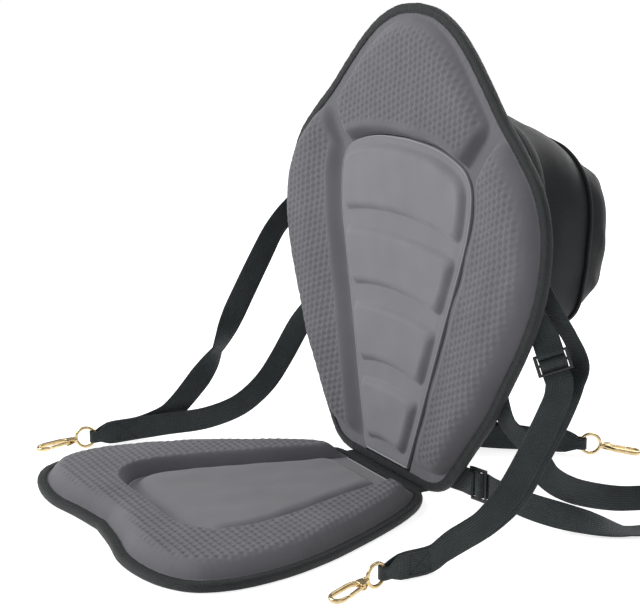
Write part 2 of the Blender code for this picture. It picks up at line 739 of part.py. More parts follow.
def build_slide(name, parent, centre, along, flat):
    """A three-bar plastic slide, its bars across the webbing."""
    bar = SLIDE_BAR / 2
    inner = WEB_WIDTH / 2 + 0.0006
    xs = [-SLIDE_PITCH - bar, -SLIDE_PITCH + bar, -bar, bar, SLIDE_PITCH - bar, SLIDE_PITCH + bar]
    ys = [-inner - SLIDE_SIDE, -inner, inner, inner + SLIDE_SIDE]
    verts, faces = grid_plate(xs, ys, [(1, 1), (3, 1)], SLIDE_BAR)
    across = np.cross(flat, along)
    frame = Matrix([[along[k], across[k], flat[k], centre[k]] for k in range(3)] + [[0, 0, 0, 1]])
    local = back_matrix().inverted() @ frame
    return add_object(name, verts, faces, ("plastic_black", PLASTIC_BLACK), parent, local, smooth=False)


def build_tab(name, parent, centre, along, flat, seats):
    """The webbing tab that holds a slide: from the rear face, round the slide's last bar and back."""
    bar = np.array(centre) + along * SLIDE_PITCH
    radius = SLIDE_BAR * 0.71 + 2 * GAP + WEB_THICK / 2
    apart = WEB_THICK / 2 + GAP
    rows = []
    for k in range(7):
        angle = math.radians(110 + 140 * k / 6)
        ray = along * math.cos(angle) + flat * math.sin(angle)
        rows.append((bar + ray * radius, ray, WEB_WIDTH - 0.0006))
    middle = run_between([(bar + along * 0.0065, flat)] + seats)
    tangents = np.gradient(np.array([row[0] for row in middle]), axis=0)
    far = []
    near = []
    for (point, normal, width), tangent in zip(middle, tangents):
        run = unit(tangent)
        out = unit(normal - run * np.dot(normal, run))
        spread = apart if far else 1.4 * apart
        far.append((point + out * spread, out, width))
        near.append((point - out * spread, -out, width))
    inverse = np.array(back_matrix().inverted())
    moved = []
    for point, normal, width in far[::-1] + rows + near:
        place = inverse[:3, :3] @ point + inverse[:3, 3]
        moved.append((place, inverse[:3, :3] @ normal, width))
    return ribbon(name, moved, parent, turn=len(moved) // 2)


# Snap hooks

def sweep(path, normals, section):
    """A closed section swept along a path; normals give the section's first axis."""
    points = np.array(path, float)
    tangents = np.gradient(points, axis=0)
    rings = []
    for point, tangent, normal in zip(points, tangents, normals):
        t = unit(tangent)
        n = unit(np.array(normal) - t * np.dot(normal, t))
        b = np.cross(t, n)
        rings.append(np.array([point + n * x + b * y for x, y in section(len(rings) / (len(points) - 1))]))
    return loft_rings(rings)


def ring_mesh(bm, radius, bar, around=18, sides=6):
    """An upright ring about the origin, in the XZ plane."""
    rows = []
    for i in range(around):
        a = 2 * math.pi * i / around
        centre = Vector((math.cos(a), 0, math.sin(a))) * radius
        outward = centre.normalized()
        row = []
        for k in range(sides):
            b = 2 * math.pi * (k + 0.5) / sides
            spot = centre + outward * bar * math.cos(b)
            spot.y += bar * math.sin(b)
            row.append(bm.verts.new(spot))
        rows.append(row)
    for i in range(around):
        j = (i + 1) % around
        for k in range(sides):
            m = (k + 1) % sides
            bm.faces.new((rows[i][k], rows[i][m], rows[j][m], rows[j][k]))


def hook_path():
    """Centre line of the cast hook in its own plane: neck, back, bend and nose."""
    bend = HOOK_LENGTH - HOOK_HALF - HOOK_BAR
    points = [(RING_MEAN + 0.3 * RING_BAR, 0.0), (0.0165, -0.0006), (0.0215, -0.0040),
              (0.0280, -HOOK_HALF + 0.0004), (0.0380, -HOOK_HALF)]
    for k in range(7):
        angle = math.radians(-90 + 30 * k)
        points.append((bend + HOOK_HALF * math.cos(angle), HOOK_HALF * math.sin(angle)))
    points.append((GATE_NOSE_X, HOOK_HALF + 0.0002))
    return points


def hook_section(share):
    """The casting's section: broad at the neck, slender at the nose."""
    wide = HOOK_BAR * (1.15 - 0.35 * share)
    tall = HOOK_DEPTH * (1.0 - 0.25 * share)
    angles = [math.pi * (k + 0.5) / 3 for k in range(6)]
    return [(wide * math.cos(a), tall * math.sin(a)) for a in angles]


def ear_outline(grow=0.0):
    """A cheek beside the gate's pin, rounded at its end and rooted in the neck."""
    points = [(0.0140, -0.0022), (0.0225, -0.0045)]
    for k in range(7):
        angle = math.radians(-60 + 30 * k)
        points.append((GATE_PIN_X + (EAR_RADIUS + grow) * math.cos(angle),
                       GATE_PIN_Y + (EAR_RADIUS + grow) * math.sin(angle)))
    points.append((0.0135, 0.0020))
    return points


def prism(outline, low, high):
    ends = [np.array([(x, y, low) for x, y in outline]), np.array([(x, y, high) for x, y in outline])]
    return loft_rings(ends)


def union_with(target, tool):
    mod = target.modifiers.new("join_" + tool.name, "BOOLEAN")
    mod.operation = "UNION"
    mod.object = tool
    tool.hide_render = True
    tool.display_type = "WIRE"
    return tool


def build_hook(name, matrix, parent):
    brass = ("brass", BRASS)
    bm = bmesh.new()
    ring_mesh(bm, RING_MEAN, RING_BAR)
    mesh = bpy.data.meshes.new(name)
    bmesh.ops.recalc_face_normals(bm, faces=bm.faces)
    bm.to_mesh(mesh)
    bm.free()
    mesh.shade_smooth()
    mesh.materials.append(material(*brass))
    hook = bpy.data.objects.new(name, mesh)
    bpy.context.scene.collection.objects.link(hook)
    hook.matrix_basis = matrix
    hook.parent = parent
    path = [(x, y, 0.0) for x, y in hook_path()]
    verts, faces = sweep(path, [(0, 0, 1)] * len(path), lambda share: [(y, x) for x, y in hook_section(share)])
    shank = add_object(name + "_shank_form", verts, faces, brass, parent, matrix)
    union_with(hook, shank)
    inner = GATE_BAR + GAP
    for side, tag in ((1, "top"), (-1, "low")):
        low, high = sorted((side * inner, side * (inner + EAR_THICK)))
        ear = add_object(name + "_ear_form_" + tag, *prism(ear_outline(), low, high), brass, parent, matrix)
        union_with(hook, ear)
    verts, faces = round_bar(GATE_PIN_RADIUS + GAP, -HOOK_DEPTH - 0.002, HOOK_DEPTH + 0.002, 12)
    bore = add_object(name + "_bore_form", verts, faces, brass, parent,
                      matrix @ Matrix.Translation((GATE_PIN_X, GATE_PIN_Y, 0)))
    mod = hook.modifiers.new("bore", "BOOLEAN")
    mod.operation = "DIFFERENCE"
    mod.object = bore
    bore.hide_render = True
    bore.display_type = "WIRE"
    return hook


def round_bar(radius, low, high, sides):
    outline = [(radius * math.cos(2 * math.pi * k / sides), radius * math.sin(2 * math.pi * k / sides))
               for k in range(sides)]
    return prism(outline, low, high)


def build_gate(name, parent):
    """The spring gate, from its pin to the inside of the nose, in the hook's frame shifted to the pin."""
    length = GATE_NOSE_X - GATE_PIN_X - 2 * GAP
    lift = HOOK_HALF - GATE_PIN_Y
    hub = 0.0021
    outline = []
    for k in range(7):
        angle = math.radians(75 + 35 * k)
        outline.append((hub * math.cos(angle), hub * math.sin(angle)))
    outline += [(length, lift - 0.0015), (length, lift + 0.0012), (length - 0.004, lift + 0.0016)]
    body = add_object(name, *prism(outline, -GATE_BAR, GATE_BAR), ("brass", BRASS), parent)
    bore = add_object(name + "_bore_form", *round_bar(GATE_PIN_RADIUS + GAP, -0.004, 0.004, 12),
                      ("brass", BRASS), parent)
    mod = body.modifiers.new("bore", "BOOLEAN")
    mod.operation = "DIFFERENCE"
    mod.object = bore
    bore.hide_render = True
    bore.display_type = "WIRE"
    return body


def hook_matrix(axis_point, heading):
    """The hook's frame from the strap's fold: the ring stands on the floor, the nose dips to it."""
    h = unit(heading)
    ahead = Vector((h[0] * math.cos(HOOK_PITCH), h[1] * math.cos(HOOK_PITCH), -math.sin(HOOK_PITCH)))
    left = Vector((-h[1], h[0], 0.0))
    up = ahead.cross(left)
    out = LOOP_AXIS * math.cos(HOOK_PITCH)
    centre = Vector((axis_point[0] + h[0] * out, axis_point[1] + h[1] * out, RING_MEAN + RING_BAR))
    rows = [[ahead[k], left[k], up[k], centre[k]] for k in range(3)]
    return Matrix(rows + [[0, 0, 0, 1]])


def build_snap_hook(tag, axis_point, heading, root):
    world = hook_matrix(axis_point, heading)
    swing = add_empty("hook_" + tag, Matrix.Translation((axis_point[0], axis_point[1], RING_MEAN + RING_BAR)))
    swing.parent = root
    local = swing.matrix_basis.inverted() @ world
    build_hook("snap_hook_" + tag, local, swing)
    pivot = add_empty("gate_" + tag, local @ Matrix.Translation((GATE_PIN_X, GATE_PIN_Y, 0)))
    pivot.parent = swing
    build_gate("hook_gate_" + tag, pivot)
    reach = GATE_BAR + GAP + EAR_THICK
    pin = add_object("gate_pin_" + tag, *round_bar(GATE_PIN_RADIUS, -reach, reach, 12), ("steel", STEEL), swing,
                     local @ Matrix.Translation((GATE_PIN_X, GATE_PIN_Y, 0)))
    return pin


def build_webbing(seat, back):
    """Four straps, each folded round a hook's ring, with one end sewn to the backrest and one in a slide."""
    aslant = (0.875, -0.485, 0.0)
    rear = (0.0, -math.cos(BACK_TILT), math.sin(BACK_TILT))
    away = (0.0, math.cos(BACK_TILT), -math.sin(BACK_TILT))
    flat_down = (0.0, 0.0, 1.0)
    apart = WEB_THICK / 2 + GAP

    slide = (np.array((0.240, 0.040, 0.182)), unit((-0.35, -0.15, 0.92)), np.array(aslant))
    rows = [((0.2535, -0.080, 0.026), (0.97, -0.20, 0.0)), ((0.2505, -0.045, 0.037), (0.93, -0.37, 0.0)),
            ((0.2480, -0.018, 0.056), aslant), ((0.2470, 0.003, 0.082), aslant),
            ((0.2480, 0.0185, 0.108), aslant), ((0.2495, 0.032, 0.134), aslant),
            ((0.2498, 0.0395, 0.150), aslant)]
    long_rows = [((0.2485, -0.075, 0.022), (0.97, -0.20, 0.0)), ((0.2460, -0.035, 0.035), (0.93, -0.37, 0.0)),
                 ((0.2455, -0.005, 0.055), aslant), ((0.2455, 0.015, 0.083), aslant),
                 ((0.2450, 0.033, 0.110), aslant), ((0.2440, 0.050, 0.138), (0.60, -0.80, 0.0)),
                 ((0.2435, 0.063, 0.160), (0.20, -0.98, 0.0)), ((0.2430, 0.070, 0.174), (0.10, -0.98, 0.0)),
                 ((0.2410, 0.068, 0.188), (0.05, -0.98, 0.0)), ((0.2380, 0.059, 0.206), rear),
                 ((0.2290, 0.042, 0.238), rear), (behind(0.216, 0.270, 0.002), rear),
                 (behind(0.212, 0.300), rear)]
    one_strap("front_left", seat, back, (0.2585, -0.1595), (0.07, -0.9975), rows, slide, long_rows, True,
              [((0.2310, 0.0355, 0.2060), (0.75, -0.65, 0.1)), (behind(0.2140, 0.222, apart), rear),
               (behind(0.1980, 0.232, apart), rear)])

    slide = (np.array((-0.222, 0.042, 0.171)), unit((0.10, 0.10, 0.99)), unit((0.30, -0.95, 0.066)))
    rows = [((-0.2462, -0.150, 0.0150), (1.0, 0.0, 0.0)), ((-0.2405, -0.105, 0.0165), (0.95, -0.25, 0.0)),
            ((-0.2360, -0.062, 0.028), (0.9, -0.43, 0.0)), ((-0.2325, -0.030, 0.052), aslant),
            ((-0.2300, -0.006, 0.085), aslant), ((-0.2280, 0.014, 0.118), (0.7, -0.71, 0.0))]
    long_rows = [((-0.2518, -0.150, 0.024), (1.0, 0.0, 0.0)), ((-0.2508, -0.107, 0.064), (0.9, -0.43, 0.0)),
                 ((-0.2500, -0.084, 0.095), (0.40, 0.92, 0.0)), ((-0.2495, -0.060, 0.141), (-0.9, 0.43, 0.0)),
                 ((-0.2510, -0.026, 0.200), (-0.95, 0.30, 0.0)), ((-0.2560, -0.002, 0.234), (-1.0, 0.05, 0.0)),
                 ((-0.2590, 0.020, 0.254), (-1.0, 0.10, 0.0)), ((-0.2530, 0.038, 0.270), (-0.6, 0.8, 0.0)),
                 ((-0.2380, 0.038, 0.282), (-0.1, 1.0, 0.0)), (behind(-0.222, 0.284, 0.002), rear),
                 (behind(-0.200, 0.300), rear)]
    one_strap("front_right", seat, back, (-0.2487, -0.2425), (0.026, -0.9997), rows, slide, long_rows, True,
              [((-0.2180, 0.0390, 0.1980), (0.25, -0.95, 0.06)), (behind(-0.2080, 0.216, apart), rear),
               (behind(-0.2000, 0.238, apart), rear)])

    slide = (np.array((0.152, 0.018, 0.034)), unit((-0.98, -0.19, 0.0)), unit((0.19, -0.98, 0.0)))
    rows = [((0.2708, 0.184, 0.0112), (0.6, -0.2, 0.75)), ((0.2718, 0.152, 0.0032), flat_down),
            ((0.2650, 0.120, 0.0032), flat_down), ((0.2450, 0.084, 0.0125), (0.5, -0.4, 0.75)),
            ((0.2220, 0.056, 0.0200), (0.7, -0.6, 0.3)), ((0.2020, 0.038, 0.0260), (0.6, -0.8, 0.1))]
    long_rows = [((0.2265, 0.184, 0.0146), (0.95, -0.30, 0.0)), ((0.2180, 0.150, 0.017), (0.98, -0.10, 0.0)),
                 ((0.2170, 0.115, 0.026), (0.98, -0.10, 0.0)), ((0.2195, 0.078, 0.041), (0.95, -0.3, 0.0)),
                 ((0.2190, 0.052, 0.060), (0.8, -0.6, 0.0)), ((0.2080, 0.042, 0.085), (0.4, -0.9, 0.0)),
                 (behind(0.197, 0.104, 0.003), rear), (behind(0.188, 0.124), rear),
                 (behind(0.180, 0.148), rear)]
    one_strap("rear_left", seat, back, (0.272, 0.262), (0.35, 0.937), rows, slide, long_rows, False,
              [((0.1290, 0.0140, 0.0340), (0.05, -1.0, 0.0)), (behind(0.1130, 0.0240, apart), rear),
               (behind(0.0980, 0.0240, apart), rear)])

    slide = (np.array((-0.140, 0.0433, 0.034)), unit((-0.2, -0.98, 0.0)), unit((0.98, -0.2, 0.0)))
    rows = [((-0.0350, 0.139, 0.0148), (0.65, -0.76, 0.0)), ((-0.0850, 0.098, 0.018), (0.65, -0.76, 0.0)),
            ((-0.1180, 0.078, 0.028), (0.75, -0.66, 0.0))]
    long_rows = [((-0.0420, 0.155, 0.0165), (0.68, -0.73, 0.0)), ((-0.0950, 0.118, 0.026), (0.6, -0.8, 0.0)),
                 ((-0.1430, 0.086, 0.046), (0.6, -0.8, 0.0)), ((-0.1740, 0.060, 0.070), (0.4, -0.9, 0.0)),
                 ((-0.1870, 0.042, 0.094), (0.1, -1.0, 0.0)), (behind(-0.188, 0.108, 0.004), rear),
                 (behind(-0.186, 0.126, 0.0003), rear), (behind(-0.180, 0.150, 0.0002), rear)]
    one_strap("rear_right", seat, back, (0.0437, 0.2328), (0.68, 0.733), rows, slide, long_rows, False,
              [((-0.1415, 0.0235, 0.0340), (0.97, -0.2, 0.0)), ((-0.1350, 0.0165, 0.0340), (0.73, 0.68, 0.0)),
               (behind(-0.1230, 0.0240, apart), away), (behind(-0.1080, 0.0240, apart), away)])

    build_snap_hook("front_left", (0.2585, -0.1595), (0.233, -0.972), seat)
    build_snap_hook("front_right", (-0.2487, -0.2425), (-0.231, -0.973), seat)
    build_snap_hook("rear_left", (0.272, 0.262), (0.40, 0.917), seat)
    build_snap_hook("rear_right", (0.0437, 0.2328), (0.54, 0.842), seat)


def one_strap(tag, seat, back, axis_point, heading, rows, slide, long_rows, slide_first, seats):
    """A strap with its slide and its tab; the strand on the ring's left side comes first."""
    centre, along, flat = slide
    flat = unit(flat - along * np.dot(flat, along))
    threaded = slide_rows(centre, along, flat)
    fold = ring_loop(axis_point, unit(heading))
    ends = (fold[0], fold[-1]) if slide_first else (fold[-1], fold[0])
    short = run_between([(ends[0][0], ends[0][1])] + rows + [(threaded[0][0], threaded[0][1])])
    sign = 1.0 if np.dot(short[-1][1], threaded[0][1]) > 0 else -1.0
    short = short[:-1] + [(p, n * sign, w) for p, n, w in threaded]
    long = run_between([(ends[1][0], ends[1][1])] + long_rows)
    if slide_first:
        path = short[::-1][:-1] + fold + long[1:]
    else:
        path = long[::-1][:-1] + fold + short[1:]
    path = steady(path)
    ribbon("strap_" + tag, path, seat)
    build_slide("slide_" + tag, back, centre, along, flat)
    build_tab("slide_tab_" + tag, back, centre, along, flat, seats)


def steady(path):
    """The same path with each normal on the same side as the one before."""
    out = [path[0]]
    for point, normal, width in path[1:]:
        normal = np.array(normal, float)
        if np.dot(normal, out[-1][1]) < -0.05:
            normal = -normal
        out.append((point, normal, width))
    return out


# Rear bag, in the backrest's frame: depth runs away from the sitter

def bag_section(depth):
    """The bag's outline at a depth: a flat foot, upright sides and a domed top."""
    share = depth / BAG_DEPTH
    top = BAG_TOP_V - 0.062 * share ** 2.2
    foot = BAG_FOOT_V + 0.080 * max(0.0, (share - 0.45) / 0.55) ** 1.5
    half = BAG_HALF * (1.0 - 0.06 * share ** 2)
    edge = 0.026
    inset = 0.0
    if depth > BAG_DEPTH - edge:
        reach = min(1.0, (depth - BAG_DEPTH + edge) / edge)
        inset = 0.8 * edge * (1.0 - math.sqrt(1.0 - 0.97 * reach ** 2))
    middle = foot + 0.45 * (top - foot)
    out = []
    for k in range(BAG_POINTS):
        angle = 2 * math.pi * k / BAG_POINTS
        c = math.cos(angle)
        s = math.sin(angle)
        power = 2 / 2.6 if s >= 0 else 2 / 4.5
        u = math.copysign(abs(c) ** power, c) * (half - inset)
        rise_v = (top - middle if s >= 0 else middle - foot) - inset
        out.append((u, middle + math.copysign(abs(s) ** power, s) * rise_v, -depth))
    return np.array(out)


def build_bag(back):
    dark = ("dark_fabric", FABRIC_DARK)
    place = Matrix.Translation((0, 0, -BACK_SET - GAP))
    depths = [0.0, ZIP_DEPTH - ZIP_WIDTH / 2 - 0.002, ZIP_DEPTH + ZIP_WIDTH / 2 + 0.002, 0.068, 0.088,
              BAG_CORD_DEPTH - 0.002, BAG_CORD_DEPTH + 0.008, 0.122, BAG_DEPTH]
    rings = [bag_section(d) for d in depths]
    rim = rings[-1]
    middle = rim.mean(axis=0)
    for share, bulge in ((0.82, 0.004), (0.50, 0.007), (0.20, 0.008)):
        ring = middle + (rim - middle) * share
        ring[:, 2] = -BAG_DEPTH - bulge
        rings.append(ring)
    verts, faces = loft_rings(rings[::-1])
    add_object("rear_bag", verts, faces, dark, back, place)
    build_bag_cord(back, place)
    build_zip(back, place)


def build_bag_cord(back, place):
    """The piping round the bag's rear panel."""
    line = bag_section(BAG_CORD_DEPTH)
    around = np.roll(line, -1, axis=0) - np.roll(line, 1, axis=0)
    deeper = bag_section(BAG_CORD_DEPTH + 0.002) - bag_section(BAG_CORD_DEPTH - 0.002)
    middle = line.mean(axis=0)
    rings = []
    for k in range(6):
        angle = math.pi * (k + 0.5) / 3
        ring = []
        for point, tangent, step in zip(line, around, deeper):
            out = unit(np.cross(tangent, step))
            if np.dot(out, point - middle) < 0:
                out = -out
            side = np.cross(unit(tangent), out)
            centre = point + out * (BAG_CORD * math.cos(math.pi / 6) + 1.5 * GAP)
            ring.append(centre + (out * math.cos(angle) + side * math.sin(angle)) * BAG_CORD)
        rings.append(np.array(ring))
    verts, faces = loft_rings(rings + [rings[0]], close_ends=False)
    last = 6 * len(line)
    faces = [tuple(i - last if i >= last else i for i in face) for face in faces]
    add_object("bag_piping", verts[:last], faces, ("dark_fabric", FABRIC_DARK), back, place)


def build_zip(back, place):
    """The zip's tape over the bag's gusset, its slider on the straight lower run, and the pull."""
    first = bag_section(ZIP_DEPTH - ZIP_WIDTH / 2)
    second = bag_section(ZIP_DEPTH + ZIP_WIDTH / 2)
    low = bag_section(ZIP_DEPTH)[:, 1].min() + ZIP_FOOT
    rings = []
    keep = list(range(-1, BAG_POINTS // 2 + 2))
    for side, off in ((first, GAP), (first, GAP + ZIP_THICK), (second, GAP + ZIP_THICK), (second, GAP)):
        tangents = np.roll(side, -1, axis=0) - np.roll(side, 1, axis=0)
        ring = []
        for k in keep:
            out = unit(np.cross(unit(tangents[k]), (0, 0, 1)))
            if np.dot(out[:2], side[k][:2] - side.mean(axis=0)[:2]) < 0:
                out = -out
            ring.append(side[k] + out * off)
        for end, inner in ((0, 1), (-1, -2)):
            step = ring[end] - ring[inner]
            ring[end] = ring[inner] + step * (ring[inner][1] - low) / (ring[inner][1] - ring[end][1])
        rings.append(np.array(ring))
    size = len(keep)
    verts = np.vstack(rings)
    faces = [(0, size, 2 * size, 3 * size), tuple(size * k + size - 1 for k in (3, 2, 1, 0))]
    for k in range(4):
        j = (k + 1) % 4
        for i in range(size - 1):
            faces.append((k * size + i, k * size + i + 1, j * size + i + 1, j * size + i))
    add_object("zip_tape", verts, faces, ("webbing_black", WEBBING_BLACK), back, place)

    upper = (rings[1][1] + rings[2][1]) / 2
    lower = (rings[1][0] + rings[2][0]) / 2
    run = unit(upper - lower)
    depth = np.array((0.0, 0.0, -1.0))
    out = unit(np.cross(run, depth))
    out = out if out[0] > 0 else -out
    start = upper - run * SLIDER_DROP + out * (GAP + SLIDER_THICK / 2)
    across = np.cross(out, run)
    frame = Matrix([[across[k], run[k], out[k], start[k]] for k in range(3)] + [[0, 0, 0, 1]])
    carrier = add_empty("zip", place @ frame)
    carrier.parent = back
    build_slider(carrier)


def build_slider(carrier):
    """The zip's slider: a plate with two cheeks and a bar, and the pull that hangs on the bar."""
    steel = ("steel", STEEL)
    x = SLIDER_WIDE / 2
    y = SLIDER_LONG / 2
    z = SLIDER_THICK / 2
    outline = [(-x, -y * 0.6), (-x * 0.6, -y), (x * 0.6, -y), (x, -y * 0.6), (x, y), (-x, y)]
    body = add_object("zip_slider", *prism(outline, -z, z), steel, carrier, smooth=False)
    bar_z = z + 0.0026
    gap_half = PULL_WIDE / 2 - 0.0012
    for side in (-1, 1):
        low, high = sorted((side * gap_half, side * (gap_half + SLIDER_CHEEK)))
        profile = [(-y * 0.9, z - 0.0004), (-y * 0.1, z - 0.0004), (-y * 0.3, bar_z + 0.0014),
                   (-y * 0.7, bar_z + 0.0014)]
        ends = [np.array([(low, a, b) for a, b in profile]), np.array([(high, a, b) for a, b in profile])]
        cheek = add_object(f"zip_cheek_form_{side}", *loft_rings(ends), steel, carrier, smooth=False)
        union_with(body, cheek)
    turn = Matrix.Rotation(math.pi / 2, 4, "Y")
    seat = Matrix.Translation((0, -y * 0.5, bar_z))
    reach = gap_half + 0.0006
    bar = add_object("zip_bar_form", *round_bar(PULL_PIN, -reach, reach, 10), steel, carrier, seat @ turn,
                     smooth=False)
    union_with(body, bar)
    pivot = add_empty("zip_pull_pivot", seat)
    pivot.parent = carrier
    eye = PULL_PIN + GAP + 0.0012
    half = gap_half - GAP
    ring = [(eye * math.cos(k * math.pi / 6), eye * math.sin(k * math.pi / 6)) for k in range(12)]
    ends = [np.array([(side, a, b) for a, b in ring]) for side in (-half, half)]
    pull = add_object("zip_pull", *loft_rings(ends), steel, pivot, smooth=False)
    side = PULL_WIDE / 2
    right = [(side * 0.6, -PULL_LONG), (side, -PULL_LONG + 0.002), (side, -eye - 0.0045),
             (half * 0.9, -eye * 0.5)]
    blade = [(-a, b) for a, b in right[::-1]] + right
    plate = add_object("zip_blade_form", *prism(blade, -PULL_THICK / 2, PULL_THICK / 2), steel, pivot,
                       smooth=False)
    union_with(pull, plate)
    bore = add_object("zip_bore_form", *round_bar(PULL_PIN + GAP, -0.005, 0.005, 10), steel, pivot, turn)
    mod = pull.modifiers.new("bore", "BOOLEAN")
    mod.operation = "DIFFERENCE"
    mod.object = bore
    bore.hide_render = True
    bore.display_type = "WIRE"


def main():
    clear_scene()
    seat = add_empty("seat", Matrix.Translation((0, HINGE_Y, 0)))
    back = add_empty("backrest", back_matrix())
    back.parent = seat
    build_seat(seat)
    build_hinge_strip(seat)
    build_back(back)
    build_webbing(seat, back)
    build_bag(back)


main()
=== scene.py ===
"""Kayak seat: moulded pads, bindings, webbing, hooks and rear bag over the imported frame."""

import math

import bmesh
import bpy
import numpy as np
from mathutils import Matrix, Vector
from mathutils.geometry import delaunay_2d_cdt


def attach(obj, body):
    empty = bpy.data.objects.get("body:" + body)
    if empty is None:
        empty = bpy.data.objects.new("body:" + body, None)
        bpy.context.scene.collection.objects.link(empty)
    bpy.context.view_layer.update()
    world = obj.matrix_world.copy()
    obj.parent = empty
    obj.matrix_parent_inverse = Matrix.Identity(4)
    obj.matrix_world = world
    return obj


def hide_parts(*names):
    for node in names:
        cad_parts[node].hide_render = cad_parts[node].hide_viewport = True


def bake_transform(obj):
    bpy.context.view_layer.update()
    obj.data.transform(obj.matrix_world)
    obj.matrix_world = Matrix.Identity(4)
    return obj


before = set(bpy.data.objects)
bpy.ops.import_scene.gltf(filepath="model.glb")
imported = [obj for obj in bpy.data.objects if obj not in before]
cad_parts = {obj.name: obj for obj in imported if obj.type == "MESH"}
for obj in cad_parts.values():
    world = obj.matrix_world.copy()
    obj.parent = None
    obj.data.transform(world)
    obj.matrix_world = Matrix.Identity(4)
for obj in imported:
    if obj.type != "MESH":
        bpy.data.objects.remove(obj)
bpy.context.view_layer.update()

# Sizes in metres, those of the part's source except where a comment says otherwise
GAP = 0.0003
HINGE_Y = 0.178
BOARD_THICK = 0.0042
PANEL_THICK = 0.009
TAPE = 0.0012
TAPE_WIDTH = 0.0085
TAPE_BULGE = 0.0016
PAD_MARGIN = 0.0030
PAD_BASE = BOARD_THICK + GAP
BOLSTER_INSET = 0.0105

# Seat pan, outline as half widths from the front notch round to the hinge
SEAT_OUTLINE = [(0.0, -0.338), (0.046, -0.344), (0.090, -0.352), (0.130, -0.350), (0.164, -0.340),
                (0.190, -0.320), (0.203, -0.284), (0.201, -0.230), (0.187, -0.178), (0.169, -0.135),
                (0.150, -0.095), (0.129, -0.057), (0.106, -0.026), (0.084, -0.009), (0.060, -0.0075)]
SEAT_REAR_Y = -0.0075
SEAT_BOLSTER_RISE = 0.0175  # fuller than the solid's 15.5 mm
SEAT_WALL = 0.010
SEAT_SHOULDER = 0.021  # rounder than the solid's 34 mm
SEAT_WINDOW = [(0.0, -0.276), (0.045, -0.277), (0.080, -0.273), (0.101, -0.257), (0.107, -0.228),
               (0.102, -0.190), (0.088, -0.140), (0.073, -0.090), (0.062, -0.048)]
SEAT_PILLOW_RISE = 0.0095
SEAT_PILLOW_INSET = 0.008
SEAT_PILLOW_FRONT_INSET = 0.016

# Backrest, measured up the panel from its bottom edge
BACK_TILT = math.radians(3.5)
HINGE_Z = 0.0102
BACK_SET = 0.008
BACK_HEIGHT = 0.500
BACK_OUTLINE = [(0.0, 0.0), (0.050, 0.0), (0.088, 0.001), (0.110, 0.009), (0.130, 0.029),
                (0.154, 0.060), (0.185, 0.101), (0.207, 0.140), (0.229, 0.180), (0.246, 0.220),
                (0.254, 0.262), (0.251, 0.303), (0.234, 0.340), (0.203, 0.371), (0.168, 0.400),
                (0.136, 0.431), (0.104, 0.460), (0.072, 0.482), (0.036, 0.496), (0.0, BACK_HEIGHT)]
BOLSTER_WALL = 0.010
BOLSTER_FOOT_V = 0.019
VALLEY_HALF = 0.007
VALLEY_START = (0.126, 0.343)
VALLEY_HEADING = math.radians(51.5)

# Centre panel of the backrest: half width up the panel, then its arched top
PANEL_FOOT_V = 0.0105
PANEL_OUTLINE = [(0.0435, PANEL_FOOT_V), (0.0595, 0.060), (0.0765, 0.115), (0.0940, 0.171), (0.1175, 0.243),
                 (0.1265, 0.276), (0.1295, 0.306), (0.1265, 0.326), (0.1140, 0.341), (0.0880, 0.3515),
                 (0.0540, 0.3585), (0.0, 0.3615)]
FLANGE_RISE = 0.003
FLANGE_WIDTH = 0.009
LOBE_RISE = 0.0075
LOBE_WALL = 0.009
# Each lobe: bottom and top on the centre line, and how far each arch drops to its sides
LOBES = [(0.030, 0.094, 0.011, 0.006), (0.115, 0.178, 0.012, 0.010),
         (0.198, 0.259, 0.013, 0.009), (0.280, 0.380, 0.015, 0.010)]

# Sewn hinge strip between the two bindings
HINGE_HALF = 0.078
HINGE_SHEET = 0.001

# Webbing
WEB_WIDTH = 0.027
WEB_THICK = 0.0018
WEB_LOOP_WIDTH = 0.013
WEB_LOOP_INNER = 0.0037
WEB_SEWN = 0.042
WEB_FLOOR = 0.0008
STRAND_STEP = 0.016

# Snap hook: eye ring upright, hook flat, origin at the ring's centre, X towards the nose
RING_MEAN = 0.0111
RING_BAR = 0.0019
LOOP_AXIS = RING_MEAN + RING_BAR - (WEB_LOOP_INNER - 0.00045)
HOOK_LENGTH = 0.058
HOOK_HALF = 0.0075
HOOK_BAR = 0.0025
HOOK_DEPTH = 0.0031
HOOK_PITCH = math.radians(9.5)
GATE_PIN_X = 0.0215
GATE_PIN_Y = 0.0052
GATE_NOSE_X = 0.0420
GATE_BAR = 0.0015
EAR_THICK = 0.0013
EAR_RADIUS = 0.0027

# Three-bar slides on the webbing
SLIDE_BAR = 0.0024
SLIDE_PITCH = 0.0095
SLIDE_SIDE = 0.0035

# Rear bag
BAG_HALF = 0.178
BAG_FOOT_V = 0.156
BAG_TOP_V = 0.402
BAG_DEPTH = 0.135  # deeper than the solid's 128 mm
BAG_CORD = 0.0024
BAG_CORD_DEPTH = 0.104
ZIP_DEPTH = 0.036
ZIP_WIDTH = 0.022
ZIP_FOOT = 0.048


